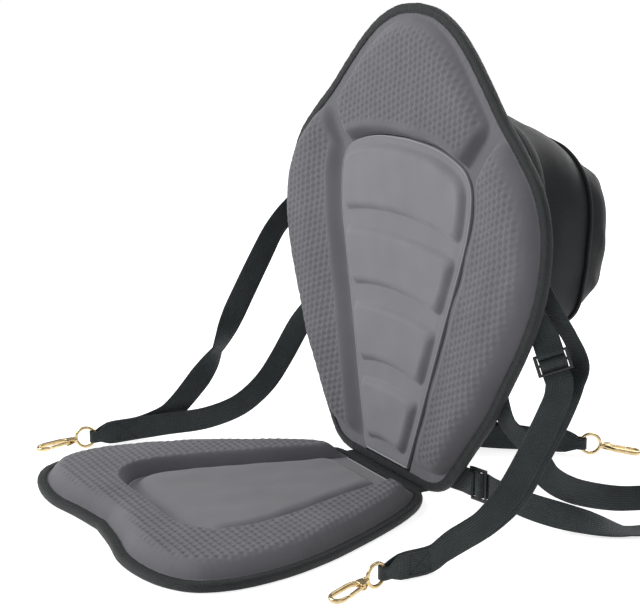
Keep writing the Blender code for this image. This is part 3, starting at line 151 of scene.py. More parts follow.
def smooth_curve(points, closed=False, per_span=8):
    """A centripetal Catmull-Rom curve through the points."""
    pts = [np.array(p, float) for p in points]
    count = len(pts)
    out = []
    spans = count if closed else count - 1
    for i in range(spans):
        p1 = pts[i]
        p2 = pts[(i + 1) % count]
        p0 = pts[i - 1] if closed or i > 0 else 2 * p1 - p2
        p3 = pts[(i + 2) % count] if closed or i + 2 < count else 2 * p2 - p1
        t1 = np.linalg.norm(p1 - p0) ** 0.5
        t2 = t1 + np.linalg.norm(p2 - p1) ** 0.5
        t3 = t2 + np.linalg.norm(p3 - p2) ** 0.5
        for k in range(per_span):
            t = t1 + (t2 - t1) * k / per_span
            a1 = (t1 - t) / t1 * p0 + t / t1 * p1
            a2 = (t2 - t) / (t2 - t1) * p1 + (t - t1) / (t2 - t1) * p2
            a3 = (t3 - t) / (t3 - t2) * p2 + (t - t2) / (t3 - t2) * p3
            b1 = (t2 - t) / t2 * a1 + t / t2 * a2
            b2 = (t3 - t) / (t3 - t1) * a2 + (t - t1) / (t3 - t1) * a3
            out.append((t2 - t) / (t2 - t1) * b1 + (t - t1) / (t2 - t1) * b2)
    if not closed:
        out.append(pts[-1])
    return np.array(out)


def closed_line(loop):
    return np.vstack([loop, loop[:1]])


def run_lengths(line):
    """The distance along a line at each of its points."""
    steps = np.linalg.norm(np.diff(line, axis=0), axis=1)
    return np.concatenate([[0.0], np.cumsum(steps)])


def resample(curve, count, closed=True):
    """Points at equal steps along a polyline."""
    line = closed_line(curve) if closed else curve
    run = run_lengths(line)
    stops = np.linspace(0.0, run[-1], count + 1)[:-1] if closed else np.linspace(0.0, run[-1], count)
    return np.column_stack([np.interp(stops, run, line[:, k]) for k in range(line.shape[1])])


def mirrored_loop(half, count):
    """A closed, symmetric outline, counter-clockwise, from its right half."""
    right = smooth_curve(half)
    left = right[::-1] * np.array([-1.0, 1.0])
    middle = [row for row in left if row[0] < -1e-9]
    loop = np.vstack([right, np.array(middle)])
    return resample(loop, count)


def loop_normals(loop):
    """Outward unit normals of a counter-clockwise loop."""
    tangent = np.roll(loop, -1, axis=0) - np.roll(loop, 1, axis=0)
    normal = np.column_stack([tangent[:, 1], -tangent[:, 0]])
    return normal / np.linalg.norm(normal, axis=1)[:, None]


def offset_loop(loop, distance):
    return loop + loop_normals(loop) * distance


def distance_inside(points, loop):
    """Distance to a loop, positive inside it."""
    a = loop
    b = np.roll(loop, -1, axis=0)
    best = np.full(len(points), np.inf)
    inside = np.zeros(len(points), bool)
    x = points[:, 0]
    y = points[:, 1]
    for p, q in zip(a, b):
        d = q - p
        t = np.clip(((points - p) @ d) / (d @ d), 0.0, 1.0)
        best = np.minimum(best, np.hypot(x - p[0] - t * d[0], y - p[1] - t * d[1]))
        crosses = (p[1] > y) != (q[1] > y)
        if d[1] != 0.0:
            inside ^= crosses & (x < p[0] + d[0] * (y - p[1]) / d[1])
    return np.where(inside, best, -best)


def soft_min(a, b, radius):
    """The lesser of two distances, rounded where they meet."""
    h = np.clip(0.5 + 0.5 * (b - a) / radius, 0.0, 1.0)
    return b * (1 - h) + a * h - radius * h * (1 - h)


def rise(distance, width, power=2.0):
    """0 at an edge, rising steeply and rounding over to 1 at the given width."""
    return 1.0 - (1.0 - np.clip(distance / width, 0.0, 1.0)) ** power


def loft_rings(rings, close_ends=True):
    """Faces for rings of equal length, the first and last capped."""
    size = len(rings[0])
    faces = []
    for r in range(len(rings) - 1):
        for i in range(size):
            j = (i + 1) % size
            faces.append((r * size + i, r * size + j, (r + 1) * size + j, (r + 1) * size + i))
    if close_ends:
        faces.append(tuple(range(size))[::-1])
        faces.append(tuple((len(rings) - 1) * size + i for i in range(size)))
    return np.vstack(rings), faces


def loft_round(rings):
    """Faces for rings joined all the way round, the last to the first."""
    verts, faces = loft_rings(rings + rings[:1], close_ends=False)
    last = len(rings) * len(rings[0])
    return verts[:last], [tuple(i - last if i >= last else i for i in face) for face in faces]


def lattice_points(loop, spacing):
    """A triangular lattice over a loop's box."""
    low = loop.min(axis=0)
    high = loop.max(axis=0)
    half_columns = int((high[0] - low[0]) / 2 / spacing) + 1
    rows = int((high[1] - low[1]) / (spacing * 0.866)) + 1
    out = []
    for r in range(rows + 1):
        shift = 0.5 * (r % 2)
        for c in range(-half_columns, half_columns + 1):
            out.append(((c + shift) * spacing, low[1] + r * spacing * 0.866))
    return np.array(out)


def window_line(half, count):
    """An open line round the window, from its right foot over the top to its left foot."""
    right = smooth_curve(half)
    left = (right * np.array([-1.0, 1.0]))[::-1]
    return resample(np.vstack([right, left[1:]]), count, closed=False)


def seat_relief(points, outline, window):
    edge = distance_inside(points, outline) - BOLSTER_INSET
    wall = -distance_inside(points, window) - 2 * GAP
    foot = SEAT_REAR_Y - BOLSTER_INSET - points[:, 1]
    body = soft_min(edge, foot, 0.010)
    lift = rise(wall, SEAT_WALL) * rise(body, SEAT_SHOULDER, 2.2)
    return PAD_BASE + PAD_MARGIN + SEAT_BOLSTER_RISE * lift


def seat_pillow_relief(points, window):
    depth = distance_inside(points, window) - SEAT_PILLOW_INSET
    front = points[:, 1] - SEAT_WINDOW[0][1] - SEAT_PILLOW_FRONT_INSET
    rear = SEAT_REAR_Y - 0.031 - points[:, 1]
    body = soft_min(soft_min(depth, front, 0.012), rear, 0.012)
    return PAD_BASE + PAD_MARGIN + SEAT_PILLOW_RISE * rise(body, 0.016)


def panel_relief(points, edge):
    """The lobes within the panel's flange, from each point's distance inside the panel."""
    u = points[:, 0]
    v = points[:, 1]
    half = np.interp(v, [p[1] for p in PANEL_OUTLINE], [p[0] for p in PANEL_OUTLINE])
    share = (u / np.maximum(half, 0.02)) ** 2
    share = np.clip(share, 0.0, 1.0)
    lift = np.zeros(len(points))
    for low, high, low_drop, high_drop in LOBES:
        body = soft_min(v - low + low_drop * share, high - high_drop * share - v, 0.004)
        body = soft_min(body, edge - FLANGE_WIDTH, 0.010)
        lift = np.maximum(lift, rise(body, LOBE_WALL))
    return PAD_BASE + PAD_MARGIN + FLANGE_RISE * rise(edge, 0.003) + LOBE_RISE * lift


def window_loop(half, count):
    """The window as a closed, counter-clockwise loop, its foot straight."""
    line = window_line(half[::-1], count)
    if line[0][0] > 0:
        area = np.sum(line[:, 0] * np.roll(line[:, 1], -1) - np.roll(line[:, 0], -1) * line[:, 1])
        line = line if area > 0 else line[::-1]
    return line


def horseshoe(pad_edge, line):
    """The seat pad's outline: round the front of the pan and back round the window."""
    rear = pad_edge[:, 1].max()
    foot = abs(line[0][0])
    reach = foot + 0.004
    before = np.roll(pad_edge, 1, axis=0)
    passes = (pad_edge[:, 0] < -reach) & (before[:, 0] >= -reach) & (pad_edge[:, 1] > rear - 0.01)
    ordered = np.roll(pad_edge, -int(np.argmax(passes)), axis=0)
    outer = [p for p in ordered if not (abs(p[0]) <= reach and p[1] > rear - 0.01)]
    inner = offset_line(line, 2 * GAP)
    edge = abs(inner[0][0])
    if rear - inner[0][1] > 0.001:
        inner = np.vstack([[(edge, rear)], inner, [(-edge, rear)]])
    else:
        inner[[0, -1], 1] = rear
    return np.vstack([np.array(outer), inner])


def offset_line(line, distance):
    """An open line moved away from the middle."""
    tangent = np.gradient(line, axis=0)
    normal = np.column_stack([tangent[:, 1], -tangent[:, 0]])
    normal /= np.linalg.norm(normal, axis=1)[:, None]
    middle = line.mean(axis=0)
    if np.sum((line - middle) * normal) < 0:
        normal = -normal
    return line + normal * distance


def back_matrix():
    """The backrest's frame on the hinge axis: u across, v up the panel, w forwards."""
    s = math.sin(BACK_TILT)
    c = math.cos(BACK_TILT)
    return Matrix(((1, 0, 0, 0), (0, s, -c, 0), (0, c, s, HINGE_Z), (0, 0, 0, 1)))


def flipped(loop):
    return (loop * np.array([1.0, -1.0]))[::-1]


def unit(v):
    v = np.array(v, float)
    return v / np.linalg.norm(v)


def run_between(rows):
    """Rows of a strand, smoothed through its points, with turned normals between them."""
    points = [row[0] for row in rows]
    normals = [unit(rows[0][1])]
    for row in rows[1:]:
        turned = unit(row[1])
        normals.append(turned if np.dot(turned, normals[-1]) >= -0.05 else -turned)
    lengths = [np.linalg.norm(np.subtract(q, p)) for p, q in zip(points, points[1:])]
    spans = [max(1, round(length / STRAND_STEP)) for length in lengths]
    fine = smooth_curve(points, per_span=8)
    out = []
    for i, steps in enumerate(spans):
        for k in range(steps):
            share = k / steps
            at = 8 * (i + share)
            low = int(at)
            point = fine[low] + (fine[low + 1] - fine[low]) * (at - low)
            out.append((point, unit(normals[i] * (1 - share) + normals[i + 1] * share), WEB_WIDTH))
    out.append((np.array(points[-1], float), normals[-1], WEB_WIDTH))
    return out


def ring_loop(axis_point, heading):
    """The fold of a strap round its ring, from the sewn end and back, seen from above."""
    ahead = np.array([heading[0], heading[1], 0.0])
    left = np.array([-heading[1], heading[0], 0.0])
    apart = WEB_THICK / 2 + GAP
    radius = WEB_LOOP_INNER + WEB_THICK / 2
    side = [(-WEB_SEWN - 0.012, apart, WEB_WIDTH), (-0.026, apart, WEB_WIDTH),
            (-0.0175, apart + 0.0002, 0.0255), (-0.0100, 0.0027, 0.019), (-0.0048, 0.0040, WEB_LOOP_WIDTH)]
    plan = list(side)
    for k in range(9):
        angle = math.radians(100 - 25 * k)
        plan.append((radius * math.cos(angle), radius * math.sin(angle), WEB_LOOP_WIDTH))
    plan += [(a, -b, w) for a, b, w in reversed(side)]
    points = []
    for a, b, width in plan:
        height = WEB_FLOOR + WEB_WIDTH / 2 - 0.0013 * (WEB_WIDTH - width) / (WEB_WIDTH - WEB_LOOP_WIDTH)
        points.append(np.array([axis_point[0], axis_point[1], height]) + ahead * a + left * b)
    tangents = np.gradient(np.array(points), axis=0)
    return [(p, np.cross(unit(t), (0, 0, 1)), row[2]) for p, t, row in zip(points, tangents, plan)]


def behind(u, v, off=0.0):
    """A point behind the backrest's rear face, in world coordinates."""
    return tuple(back_matrix() @ Vector((u, v, -BACK_SET - GAP - WEB_THICK / 2 - off)))


def slide_rows(centre, along, flat):
    """The webbing's way through a slide: under its first bar, over the middle one and out again."""
    plan = [(-0.0200, 0.0), (-0.0150, -0.0014), (-SLIDE_PITCH, -0.0029), (-0.0062, -0.0020),
            (-0.0040, 0.0004), (-0.0024, 0.0020), (0.0, 0.0026), (0.0026, 0.0019), (0.0038, -0.0004),
            (0.0048, -0.0034), (0.0080, -0.0062), (0.0150, -0.0078), (0.0210, -0.0080)]
    points = [np.array(centre) + along * s + flat * n for s, n in plan]
    tangents = np.gradient(np.array(points), axis=0)
    across = np.cross(along, flat)
    return [(p, np.cross(across, unit(t)), WEB_WIDTH) for p, t in zip(points, tangents)]


def grid_plate(xs, ys, holes, thick):
    """A plate on a grid of cells, open where a cell is named a hole."""
    verts = []
    for z in (-thick / 2, thick / 2):
        for y in ys:
            for x in xs:
                verts.append((x, y, z))
    nx = len(xs)
    ny = len(ys)
    layer = nx * ny
    cells = {(i, j) for i in range(nx - 1) for j in range(ny - 1)} - set(holes)
    faces = []
    for i, j in cells:
        a = j * nx + i
        quad = (a, a + 1, a + 1 + nx, a + nx)
        faces.append(tuple(k + layer for k in quad))
        faces.append(quad[::-1])
        for (p, q), (di, dj) in zip(((a, a + 1), (a + 1, a + 1 + nx), (a + 1 + nx, a + nx), (a + nx, a)),
                                    ((0, -1), (1, 0), (0, 1), (-1, 0))):
            if (i + di, j + dj) not in cells:
                faces.append((p, q, q + layer, p + layer))
    return verts, faces


def steady(path):
    """The same path with each normal on the same side as the one before."""
    out = [path[0]]
    for point, normal, width in path[1:]:
        normal = np.array(normal, float)
        if np.dot(normal, out[-1][1]) < -0.05:
            normal = -normal
        out.append((point, normal, width))
    return out


def sweep(path, normals, section):
    """A closed section swept along a path; normals give the section's first axis."""
    points = np.array(path, float)
    tangents = np.gradient(points, axis=0)
    rings = []
    for point, tangent, normal in zip(points, tangents, normals):
        t = unit(tangent)
        n = unit(np.array(normal) - t * np.dot(normal, t))
        b = np.cross(t, n)
        rings.append(np.array([point + n * x + b * y for x, y in section(len(rings) / (len(points) - 1))]))
    return loft_rings(rings)


def hook_path():
    """Centre line of the cast hook in its own plane: neck, back, bend and nose."""
    bend = HOOK_LENGTH - HOOK_HALF - HOOK_BAR
    points = [(RING_MEAN + 0.3 * RING_BAR, 0.0), (0.0165, -0.0006), (0.0215, -0.0040),
              (0.0280, -HOOK_HALF + 0.0004), (0.0380, -HOOK_HALF)]
    for k in range(7):
        angle = math.radians(-90 + 30 * k)
        points.append((bend + HOOK_HALF * math.cos(angle), HOOK_HALF * math.sin(angle)))
    points.append((GATE_NOSE_X, HOOK_HALF + 0.0002))
    return points


def ear_outline():
    """A cheek beside the gate's pin, rounded at its end and rooted in the neck."""
    points = [(0.0140, -0.0022), (0.0225, -0.0045)]
    for k in range(7):
        angle = math.radians(-60 + 30 * k)
        points.append((GATE_PIN_X + EAR_RADIUS * math.cos(angle),
                       GATE_PIN_Y + EAR_RADIUS * math.sin(angle)))
    points.append((0.0135, 0.0020))
    return points


def hook_matrix(axis_point, heading):
    """The hook's frame from the strap's fold: the ring stands on the floor, the nose dips to it."""
    h = unit(heading)
    ahead = Vector((h[0] * math.cos(HOOK_PITCH), h[1] * math.cos(HOOK_PITCH), -math.sin(HOOK_PITCH)))
    left = Vector((-h[1], h[0], 0.0))
    up = ahead.cross(left)
    out = LOOP_AXIS * math.cos(HOOK_PITCH)
    centre = Vector((axis_point[0] + h[0] * out, axis_point[1] + h[1] * out, RING_MEAN + RING_BAR))
    rows = [[ahead[k], left[k], up[k], centre[k]] for k in range(3)]
    return Matrix(rows + [[0, 0, 0, 1]])


SHIFT = np.array([0.0, HINGE_Y, 0.0])
BACK = np.array(back_matrix())
AWAY = np.array([0.0, math.cos(BACK_TILT), -math.sin(BACK_TILT)])

# Sizes of the cloth over the backrest's pads and the bag, which the part's solids simplify
FLANK_RISE = 0.0115
CREST_RISE = 0.0075
BOLSTER_FLANK = 0.020
BOLSTER_ROUND = 0.023
HEAD_MARGIN = 0.011
HEAD_ROUND = 0.020
HEAD_FULL = 0.0145
BAG_ROUND = 0.015

# Moulded pads: the net's step, the pits' pitch and size each way and their depth, and the edge's puckers
NET_STEP = 0.0030
BACK_PITS = (0.0076, 0.0090, 0.0016, 0.0022)
BACK_PIT_DEPTH = 0.0022
SEAT_PITS = (0.0087, 0.0080, 0.0021, 0.0016)
SEAT_PIT_DEPTH = 0.0025
PUCKER = 0.00028
PUCKER_PITCH = 0.0085
PUCKER_REACH = 0.012
PAD_WAVE = 0.00028

# Webbing: rows between two rows of a strand's path
ROWS_BETWEEN = 4

# Sewing: a stitch's pitch and length on the bindings, and its half widths at its ends and middle
STITCH_PITCH = 0.0034
STITCH_LENGTH = 0.0024
BINDING_THREAD = (0.00018, 0.00028, 0.00018)
BOX_PITCH = 0.0026
BOX_INSET = 0.0035
BOX_THREAD = (0.00016, 0.00030, 0.00016)

# The bag's net: points round it, rings on its sides, on its rounded edge and on its rear panel
BAG_NET = ((330, 36, 16, 34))
BAG_AROUND, BAG_SIDE_RINGS, BAG_EDGE_RINGS, BAG_REAR_RINGS = BAG_NET
BAG_SAG = 0.0030
BAG_CREASE = 0.0040
ZIP_PITCH = 0.0018

# Stage, lights as name, place, aim, size and watts, and the camera
FLOOR_HALF = 60.0
FLOOR_Z = -0.0004
FLOOR_GLOW = 0.74
AMBIENT = 0.34
LIGHTS_AIM = (0.0, 0.1, 0.2)
LIGHTS = [("key", (-1.5, -2.3, 1.9), LIGHTS_AIM, 1.5, 74.0),
          ("fill", (2.2, -0.9, 1.4), LIGHTS_AIM, 1.6, 6.0),
          ("top", (0.0, 0.9, 2.6), LIGHTS_AIM, 1.8, 12.0),
          ("rear", (-0.9, 2.4, 1.6), (0.0, 0.2, 0.2), 1.6, 34.0)]
CAMERA_PLACE = (1.5104, -0.7424, 0.6201)
CAMERA_HEADING = math.radians(61.005)
CAMERA_DOWN = math.radians(13.562)
CAMERA_LENS = 95.65


# Placing

def seat_place(points):
    return np.asarray(points, float) + SHIFT


def back_place(points, drop=BACK_SET):
    """Points of the backrest's own frame in the row frame."""
    moved = np.asarray(points, float) - np.array([0.0, 0.0, drop])
    return moved @ BACK[:3, :3].T + BACK[:3, 3] + SHIFT


def bag_place(points):
    return back_place(points, BACK_SET + GAP)


PLACES = {"seat": seat_place, "backrest": back_place}


def waves(points, seed, scale, count=10):
    """Smooth noise of unit size: a sum of sines in seeded directions."""
    rng = np.random.default_rng(seed)
    total = np.zeros(len(points))
    for k in range(count):
        heading = rng.normal(size=points.shape[1])
        heading /= np.linalg.norm(heading)
        rate = 2 * math.pi / (scale * rng.uniform(0.6, 1.7))
        total += np.sin(points @ heading * rate + rng.uniform(0, 2 * math.pi))
    return total / math.sqrt(count / 2)


# Materials

def new_material(name):
    made = bpy.data.materials.new(name)
    made.use_nodes = True
    tree = made.node_tree
    return made, tree, tree.nodes["Principled BSDF"]


def coordinates(tree, source, turn=(0.0, 0.0, 0.0)):
    """Texture coordinates through a mapping node: object space, or the named UV map."""
    if source == "object":
        coords = tree.nodes.new("ShaderNodeTexCoord").outputs["Object"]
    else:
        node = tree.nodes.new("ShaderNodeUVMap")
        node.uv_map = source
        coords = node.outputs["UV"]
    mapping = tree.nodes.new("ShaderNodeMapping")
    mapping.inputs["Rotation"].default_value = turn
    tree.links.new(coords, mapping.inputs["Vector"])
    return mapping.outputs["Vector"]


def noise(tree, vector, scale, detail=3.0, rough=0.55):
    node = tree.nodes.new("ShaderNodeTexNoise")
    node.inputs["Scale"].default_value = scale
    node.inputs["Detail"].default_value = detail
    node.inputs["Roughness"].default_value = rough
    tree.links.new(vector, node.inputs["Vector"])
    return node.outputs["Fac"]


def wave(tree, vector, direction, scale, distort=0.0):
    node = tree.nodes.new("ShaderNodeTexWave")
    node.wave_type = "BANDS"
    node.bands_direction = direction
    node.wave_profile = "SIN"
    node.inputs["Scale"].default_value = scale
    node.inputs["Distortion"].default_value = distort
    node.inputs["Detail"].default_value = 1.0
    tree.links.new(vector, node.inputs["Vector"])
    return node.outputs["Fac"]


def math_node(tree, operation, a, b=None):
    node = tree.nodes.new("ShaderNodeMath")
    node.operation = operation
    for socket, value in ((0, a), (1, b)):
        if value is None:
            continue
        if isinstance(value, (int, float)):
            node.inputs[socket].default_value = value
        else:
            tree.links.new(value, node.inputs[socket])
    return node.outputs[0]


def ramp(tree, value, stops):
    node = tree.nodes.new("ShaderNodeValToRGB")
    band = node.color_ramp
    while len(band.elements) < len(stops):
        band.elements.new(0.5)
    for element, (at, colour) in zip(band.elements, stops):
        element.position = at
        element.color = (*colour, 1.0)
    tree.links.new(value, node.inputs["Fac"])
    return node.outputs["Color"]


def multiply(tree, colour, other, share):
    node = tree.nodes.new("ShaderNodeMix")
    node.data_type = "RGBA"
    node.blend_type = "MULTIPLY"
    node.inputs["Factor"].default_value = share
    tree.links.new(colour, node.inputs["A"])
    tree.links.new(other, node.inputs["B"])
    return node.outputs["Result"]


def bump(tree, shader, height, distance):
    node = tree.nodes.new("ShaderNodeBump")
    node.inputs["Distance"].default_value = distance
    tree.links.new(height, node.inputs["Height"])
    tree.links.new(node.outputs["Normal"], shader.inputs["Normal"])


def settings(shader, **values):
    """Plain values on the shader's own sockets, their names written with underscores."""
    for name, value in values.items():
        shader.inputs[name.replace("_", " ")].default_value = value


def tinted(colour, factor):
    return tuple(min(1.0, c * factor) for c in colour)


def woven(name, colour, directions, pitch, depth, sheen=0.25, rough=0.85, mottle=0.10, tilt=0.0):
    """Cloth: crossing threads with painted shade in the gaps between them, slubs and a slow change of tone.
    """
    made, tree, shader = new_material(name)
    vector = coordinates(tree, "object", (tilt, 0.0, 0.0))
    rate = 2 * math.pi / pitch / 20
    threads = [wave(tree, vector, d, rate, 0.6) for d in directions]
    weave = math_node(tree, "MAXIMUM", threads[0], threads[1])
    slub = noise(tree, vector, 900.0, 2.0)
    slow = noise(tree, vector, 14.0, 4.0, 0.6)
    grain = math_node(tree, "MULTIPLY", weave, slub)
    tone = ramp(tree, slow, [(0.30, tinted(colour, 1.0 - mottle)), (0.70, tinted(colour, 1.0 + mottle))])
    # Painted shade: the gaps between the threads are darkened, following the weave's height
    thread_gap_shade = ramp(tree, weave, [(0.0, (0.86, 0.86, 0.86)), (0.8, (1.0, 1.0, 1.0))])
    tree.links.new(multiply(tree, tone, thread_gap_shade, 0.5), shader.inputs["Base Color"])
    settings(shader, Roughness=rough, Sheen_Weight=sheen, Sheen_Roughness=0.5, Specular_IOR_Level=0.3)
    bump(tree, shader, grain, depth)
    return made


def webbing_material(name, colour, rib=0.0017):
    """Flat webbing: ribs across it and finer threads along it."""
    made, tree, shader = new_material(name)
    vector = coordinates(tree, "weave")
    across = wave(tree, vector, "Y", 2 * math.pi / rib / 20, 0.3)
    along = wave(tree, vector, "X", 2 * math.pi / (1.5 * rib) / 20, 0.2)
    ribs = math_node(tree, "ADD", across, 0.35)
    height = math_node(tree, "MULTIPLY", ribs, math_node(tree, "ADD", along, 0.5))
    slow = noise(tree, vector, 40.0, 4.0, 0.6)
    tone = ramp(tree, slow, [(0.30, tinted(colour, 0.75)), (0.72, tinted(colour, 1.35))])
    # Painted shade: the grooves between the ribs are darkened, following the ribs' height
    thread_gap_shade = ramp(tree, height, [(0.2, (0.55, 0.55, 0.55)), (1.0, (1.0, 1.0, 1.0))])
    tree.links.new(multiply(tree, tone, thread_gap_shade, 0.8), shader.inputs["Base Color"])
    settings(shader, Roughness=0.66, Sheen_Weight=0.10, Sheen_Roughness=0.4)
    bump(tree, shader, height, 0.00035)
    return made


def hard_material(name, colour, rough, spread, tones, slow_noise, fine_scale, depth, metallic=0.0):
    """Metal or plastic: stains that change its tone and roughness, and a faint grain."""
    made, tree, shader = new_material(name)
    vector = coordinates(tree, "object")
    slow = noise(tree, vector, *slow_noise)
    tone = ramp(tree, slow, [(at, tinted(colour, factor)) for at, factor in tones])
    tree.links.new(tone, shader.inputs["Base Color"])
    shader.inputs["Metallic"].default_value = metallic
    uneven = math_node(tree, "ADD", math_node(tree, "MULTIPLY", slow, spread), rough)
    tree.links.new(uneven, shader.inputs["Roughness"])
    bump(tree, shader, noise(tree, vector, fine_scale, 2.0), depth)
    return made


def metal(name, colour, rough, dull, worn):
    tones = [(0.30, 1.0 - worn), (0.68, 1.0)]
    return hard_material(name, colour, rough, dull, tones, (160.0, 4.0, 0.6), 900.0, 0.00010, 1.0)


def plastic(name, colour, rough):
    tones = [(0.3, 0.85), (0.7, 1.2)]
    return hard_material(name, colour, rough, 0.15, tones, (60.0, 3.0), 1600.0, 0.00006)


# Pads' grey: the cloth's grey darkened by about a tenth as painted shade of the embossed pits
PAD_GREY_PIT_SHADE = (0.152, 0.150, 0.165)
PANEL_GREY = (0.228, 0.225, 0.243)
PILLOW_GREY = (0.185, 0.183, 0.198)
BLACK_GREEN = (0.0105, 0.0135, 0.0150)
BAG_BLACK = (0.0085, 0.0095, 0.0115)

BOARD_BLACK = (0.018, 0.019, 0.022)
# Pale grey of the beads along the middle pads' edges: a painted highlight of the moulded edge
EDGE_HIGHLIGHT_GREY = (0.36, 0.36, 0.38)
# Cloths: the threads' pitch and the weave's depth in metres, sheen, then roughness and mottling
FOAM_CLOTH = (0.00070, 0.00008, 0.20)
SMOOTH_CLOTH = (0.00060, 0.00006, 0.25)
BOARD_CLOTH = (0.0016, 0.0004, 0.25, 0.80, 0.15)

LOOKS = {
    "pad_back": woven("pad_back_cloth", PAD_GREY_PIT_SHADE, "XZ", *FOAM_CLOTH, tilt=BACK_TILT),
    "pad_seat": woven("pad_seat_cloth", PAD_GREY_PIT_SHADE, "XY", *FOAM_CLOTH),
    "panel": woven("panel_cloth", PANEL_GREY, "XZ", *SMOOTH_CLOTH, mottle=0.05, tilt=BACK_TILT),
    "pillow": woven("pillow_cloth", PILLOW_GREY, "XY", *SMOOTH_CLOTH, mottle=0.05),
    "bag": woven("bag_cloth", BAG_BLACK, "XZ", 0.0010, 0.00020, 0.10, 0.62, 0.15),
    "board": woven("board_cloth", BOARD_BLACK, "XZ", *BOARD_CLOTH),
    "seat_board": woven("seat_board_cloth", BOARD_BLACK, "XY", *BOARD_CLOTH),
    "binding": webbing_material("binding_tape", BLACK_GREEN, 0.0012),
    "webbing": webbing_material("webbing_strap", (0.022, 0.032, 0.033)),
    "edge": woven("panel_edge_highlight_cloth", EDGE_HIGHLIGHT_GREY, "XZ", 0.00060, 0.00004, 0.20, mottle=0.04),
    "zip_cloth": webbing_material("zip_cloth", (0.014, 0.015, 0.017), 0.0010),
    "thread": plastic("sewing_thread", (0.030, 0.033, 0.036), 0.55),
    "brass": metal("cast_brass", (0.80, 0.62, 0.34), 0.20, 0.14, 0.30),
    "steel": metal("dull_steel", (0.42, 0.42, 0.43), 0.30, 0.15, 0.35),
    "plastic": plastic("slide_plastic", (0.018, 0.019, 0.021), 0.36),
}


# Meshes

def add_mesh(name, verts, faces, look, uvs=None):
    """A mesh object in the row frame; uvs are one pair for each vertex."""
    mesh = bpy.data.meshes.new(name)
    mesh.from_pydata(np.asarray(verts, float).tolist(), [], [tuple(int(i) for i in f) for f in faces])
    mesh.validate()
    if uvs is not None:
        layer = mesh.uv_layers.new(name="weave")
        index = np.empty(len(mesh.loops), np.int32)
        mesh.loops.foreach_get("vertex_index", index)
        layer.data.foreach_set("uv", np.asarray(uvs, np.float32)[index].ravel())
    mesh.shade_smooth()
    mesh.materials.append(LOOKS[look])
    return linked(name, mesh)


def linked(name, data):
    """A new object in the scene."""
    obj = bpy.data.objects.new(name, data)
    bpy.context.scene.collection.objects.link(obj)
    return obj


def edited(obj, change):
    """Changes an object's mesh by a function of its BMesh."""
    bm = bmesh.new()
    bm.from_mesh(obj.data)
    change(bm)
    bm.to_mesh(obj.data)
    bm.free()
    return obj


def face_out(obj):
    return edited(obj, lambda bm: bmesh.ops.recalc_face_normals(bm, faces=bm.faces))


def soft_edges(obj, width, segments, angle):
    """Bevels a piece's hard edges, then shades it smooth."""
    def bevel(bm):
        bmesh.ops.recalc_face_normals(bm, faces=bm.faces)
        sharp = math.radians(angle)
        edges = [e for e in bm.edges if len(e.link_faces) == 2 and e.calc_face_angle(0.0) > sharp]
        bmesh.ops.bevel(bm, geom=edges, offset=width, segments=segments, profile=0.6, affect="EDGES",
                        clamp_overlap=True)

    edited(obj, bevel).data.shade_smooth()
    return obj


def finish_piece(obj, body, slot, *nodes):
    if nodes:
        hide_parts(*nodes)
    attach(obj, body)
    return obj


# Moulded pads

def fine_sheet(boundary, height):
    """A closed pad over an outline: a fine triangle net with its relief, a rim and a flat base."""
    lattice = lattice_points(boundary, NET_STEP)
    lattice = lattice[distance_inside(lattice, boundary) > 0.45 * NET_STEP]
    coords = [Vector((float(x), float(y))) for x, y in np.vstack([boundary, lattice])]
    edges = [(i, (i + 1) % len(boundary)) for i in range(len(boundary))]
    made = delaunay_2d_cdt(coords, edges, [], 1, 1e-7)
    flat = np.array([tuple(v) for v in made[0]])
    tris = np.array([tuple(f) for f in made[2]], int)
    flat, tris = split_in_four(flat, tris)
    used = np.unique(tris)
    place = np.full(len(flat), -1)
    place[used] = np.arange(len(used))
    flat = flat[used]
    tris = place[tris]
    sides = np.vstack([tris[:, [0, 1]], tris[:, [1, 2]], tris[:, [2, 0]]])
    keys = sides[:, 0] * len(flat) + sides[:, 1]
    back = sides[:, 1] * len(flat) + sides[:, 0]
    rim = sides[~np.isin(keys, back)]
    top = np.column_stack([flat, height(flat)])
    low = {int(i): len(top) + k for k, i in enumerate(rim[:, 0])}
    verts = np.vstack([top, np.column_stack([flat[rim[:, 0]], np.full(len(rim), PAD_BASE)])])
    faces = [tuple(f) for f in tris]
    faces += [(int(i), low[int(i)], low[int(j)], int(j)) for i, j in rim]
    after = {int(i): int(j) for i, j in rim}
    ring = [int(rim[0][0])]
    while after[ring[-1]] != ring[0]:
        ring.append(after[ring[-1]])
    faces.append(tuple(low[i] for i in ring[::-1]))
    return verts, faces


def split_in_four(flat, tris):
    """Each triangle cut into four at the middles of its sides."""
    pairs = np.sort(np.vstack([tris[:, [0, 1]], tris[:, [1, 2]], tris[:, [2, 0]]]), axis=1)
    unique, index = np.unique(pairs, axis=0, return_inverse=True)
    index = index.reshape(-1)
    middles = len(flat) + index
    count = len(tris)
    ab = middles[:count]
    bc = middles[count:2 * count]
    ca = middles[2 * count:]
    flat = np.vstack([flat, (flat[unique[:, 0]] + flat[unique[:, 1]]) / 2])
    a, b, c = tris.T
    quarters = ((a, ab, ca), (ab, b, bc), (ca, bc, c), (ab, bc, ca))
    return flat, np.vstack([np.column_stack(quarter) for quarter in quarters])


def pits(a, b, step_a, step_b, size_a, size_b):
    """A staggered lattice of rounded pits, 1 at each pit's middle."""
    row = np.round(b / step_b)
    shift = 0.5 * step_a * (row % 2)
    da = (a - shift + step_a / 2) % step_a - step_a / 2
    db = b - row * step_b
    return np.exp(-0.5 * ((da / size_a) ** 2 + (db / size_b) ** 2))


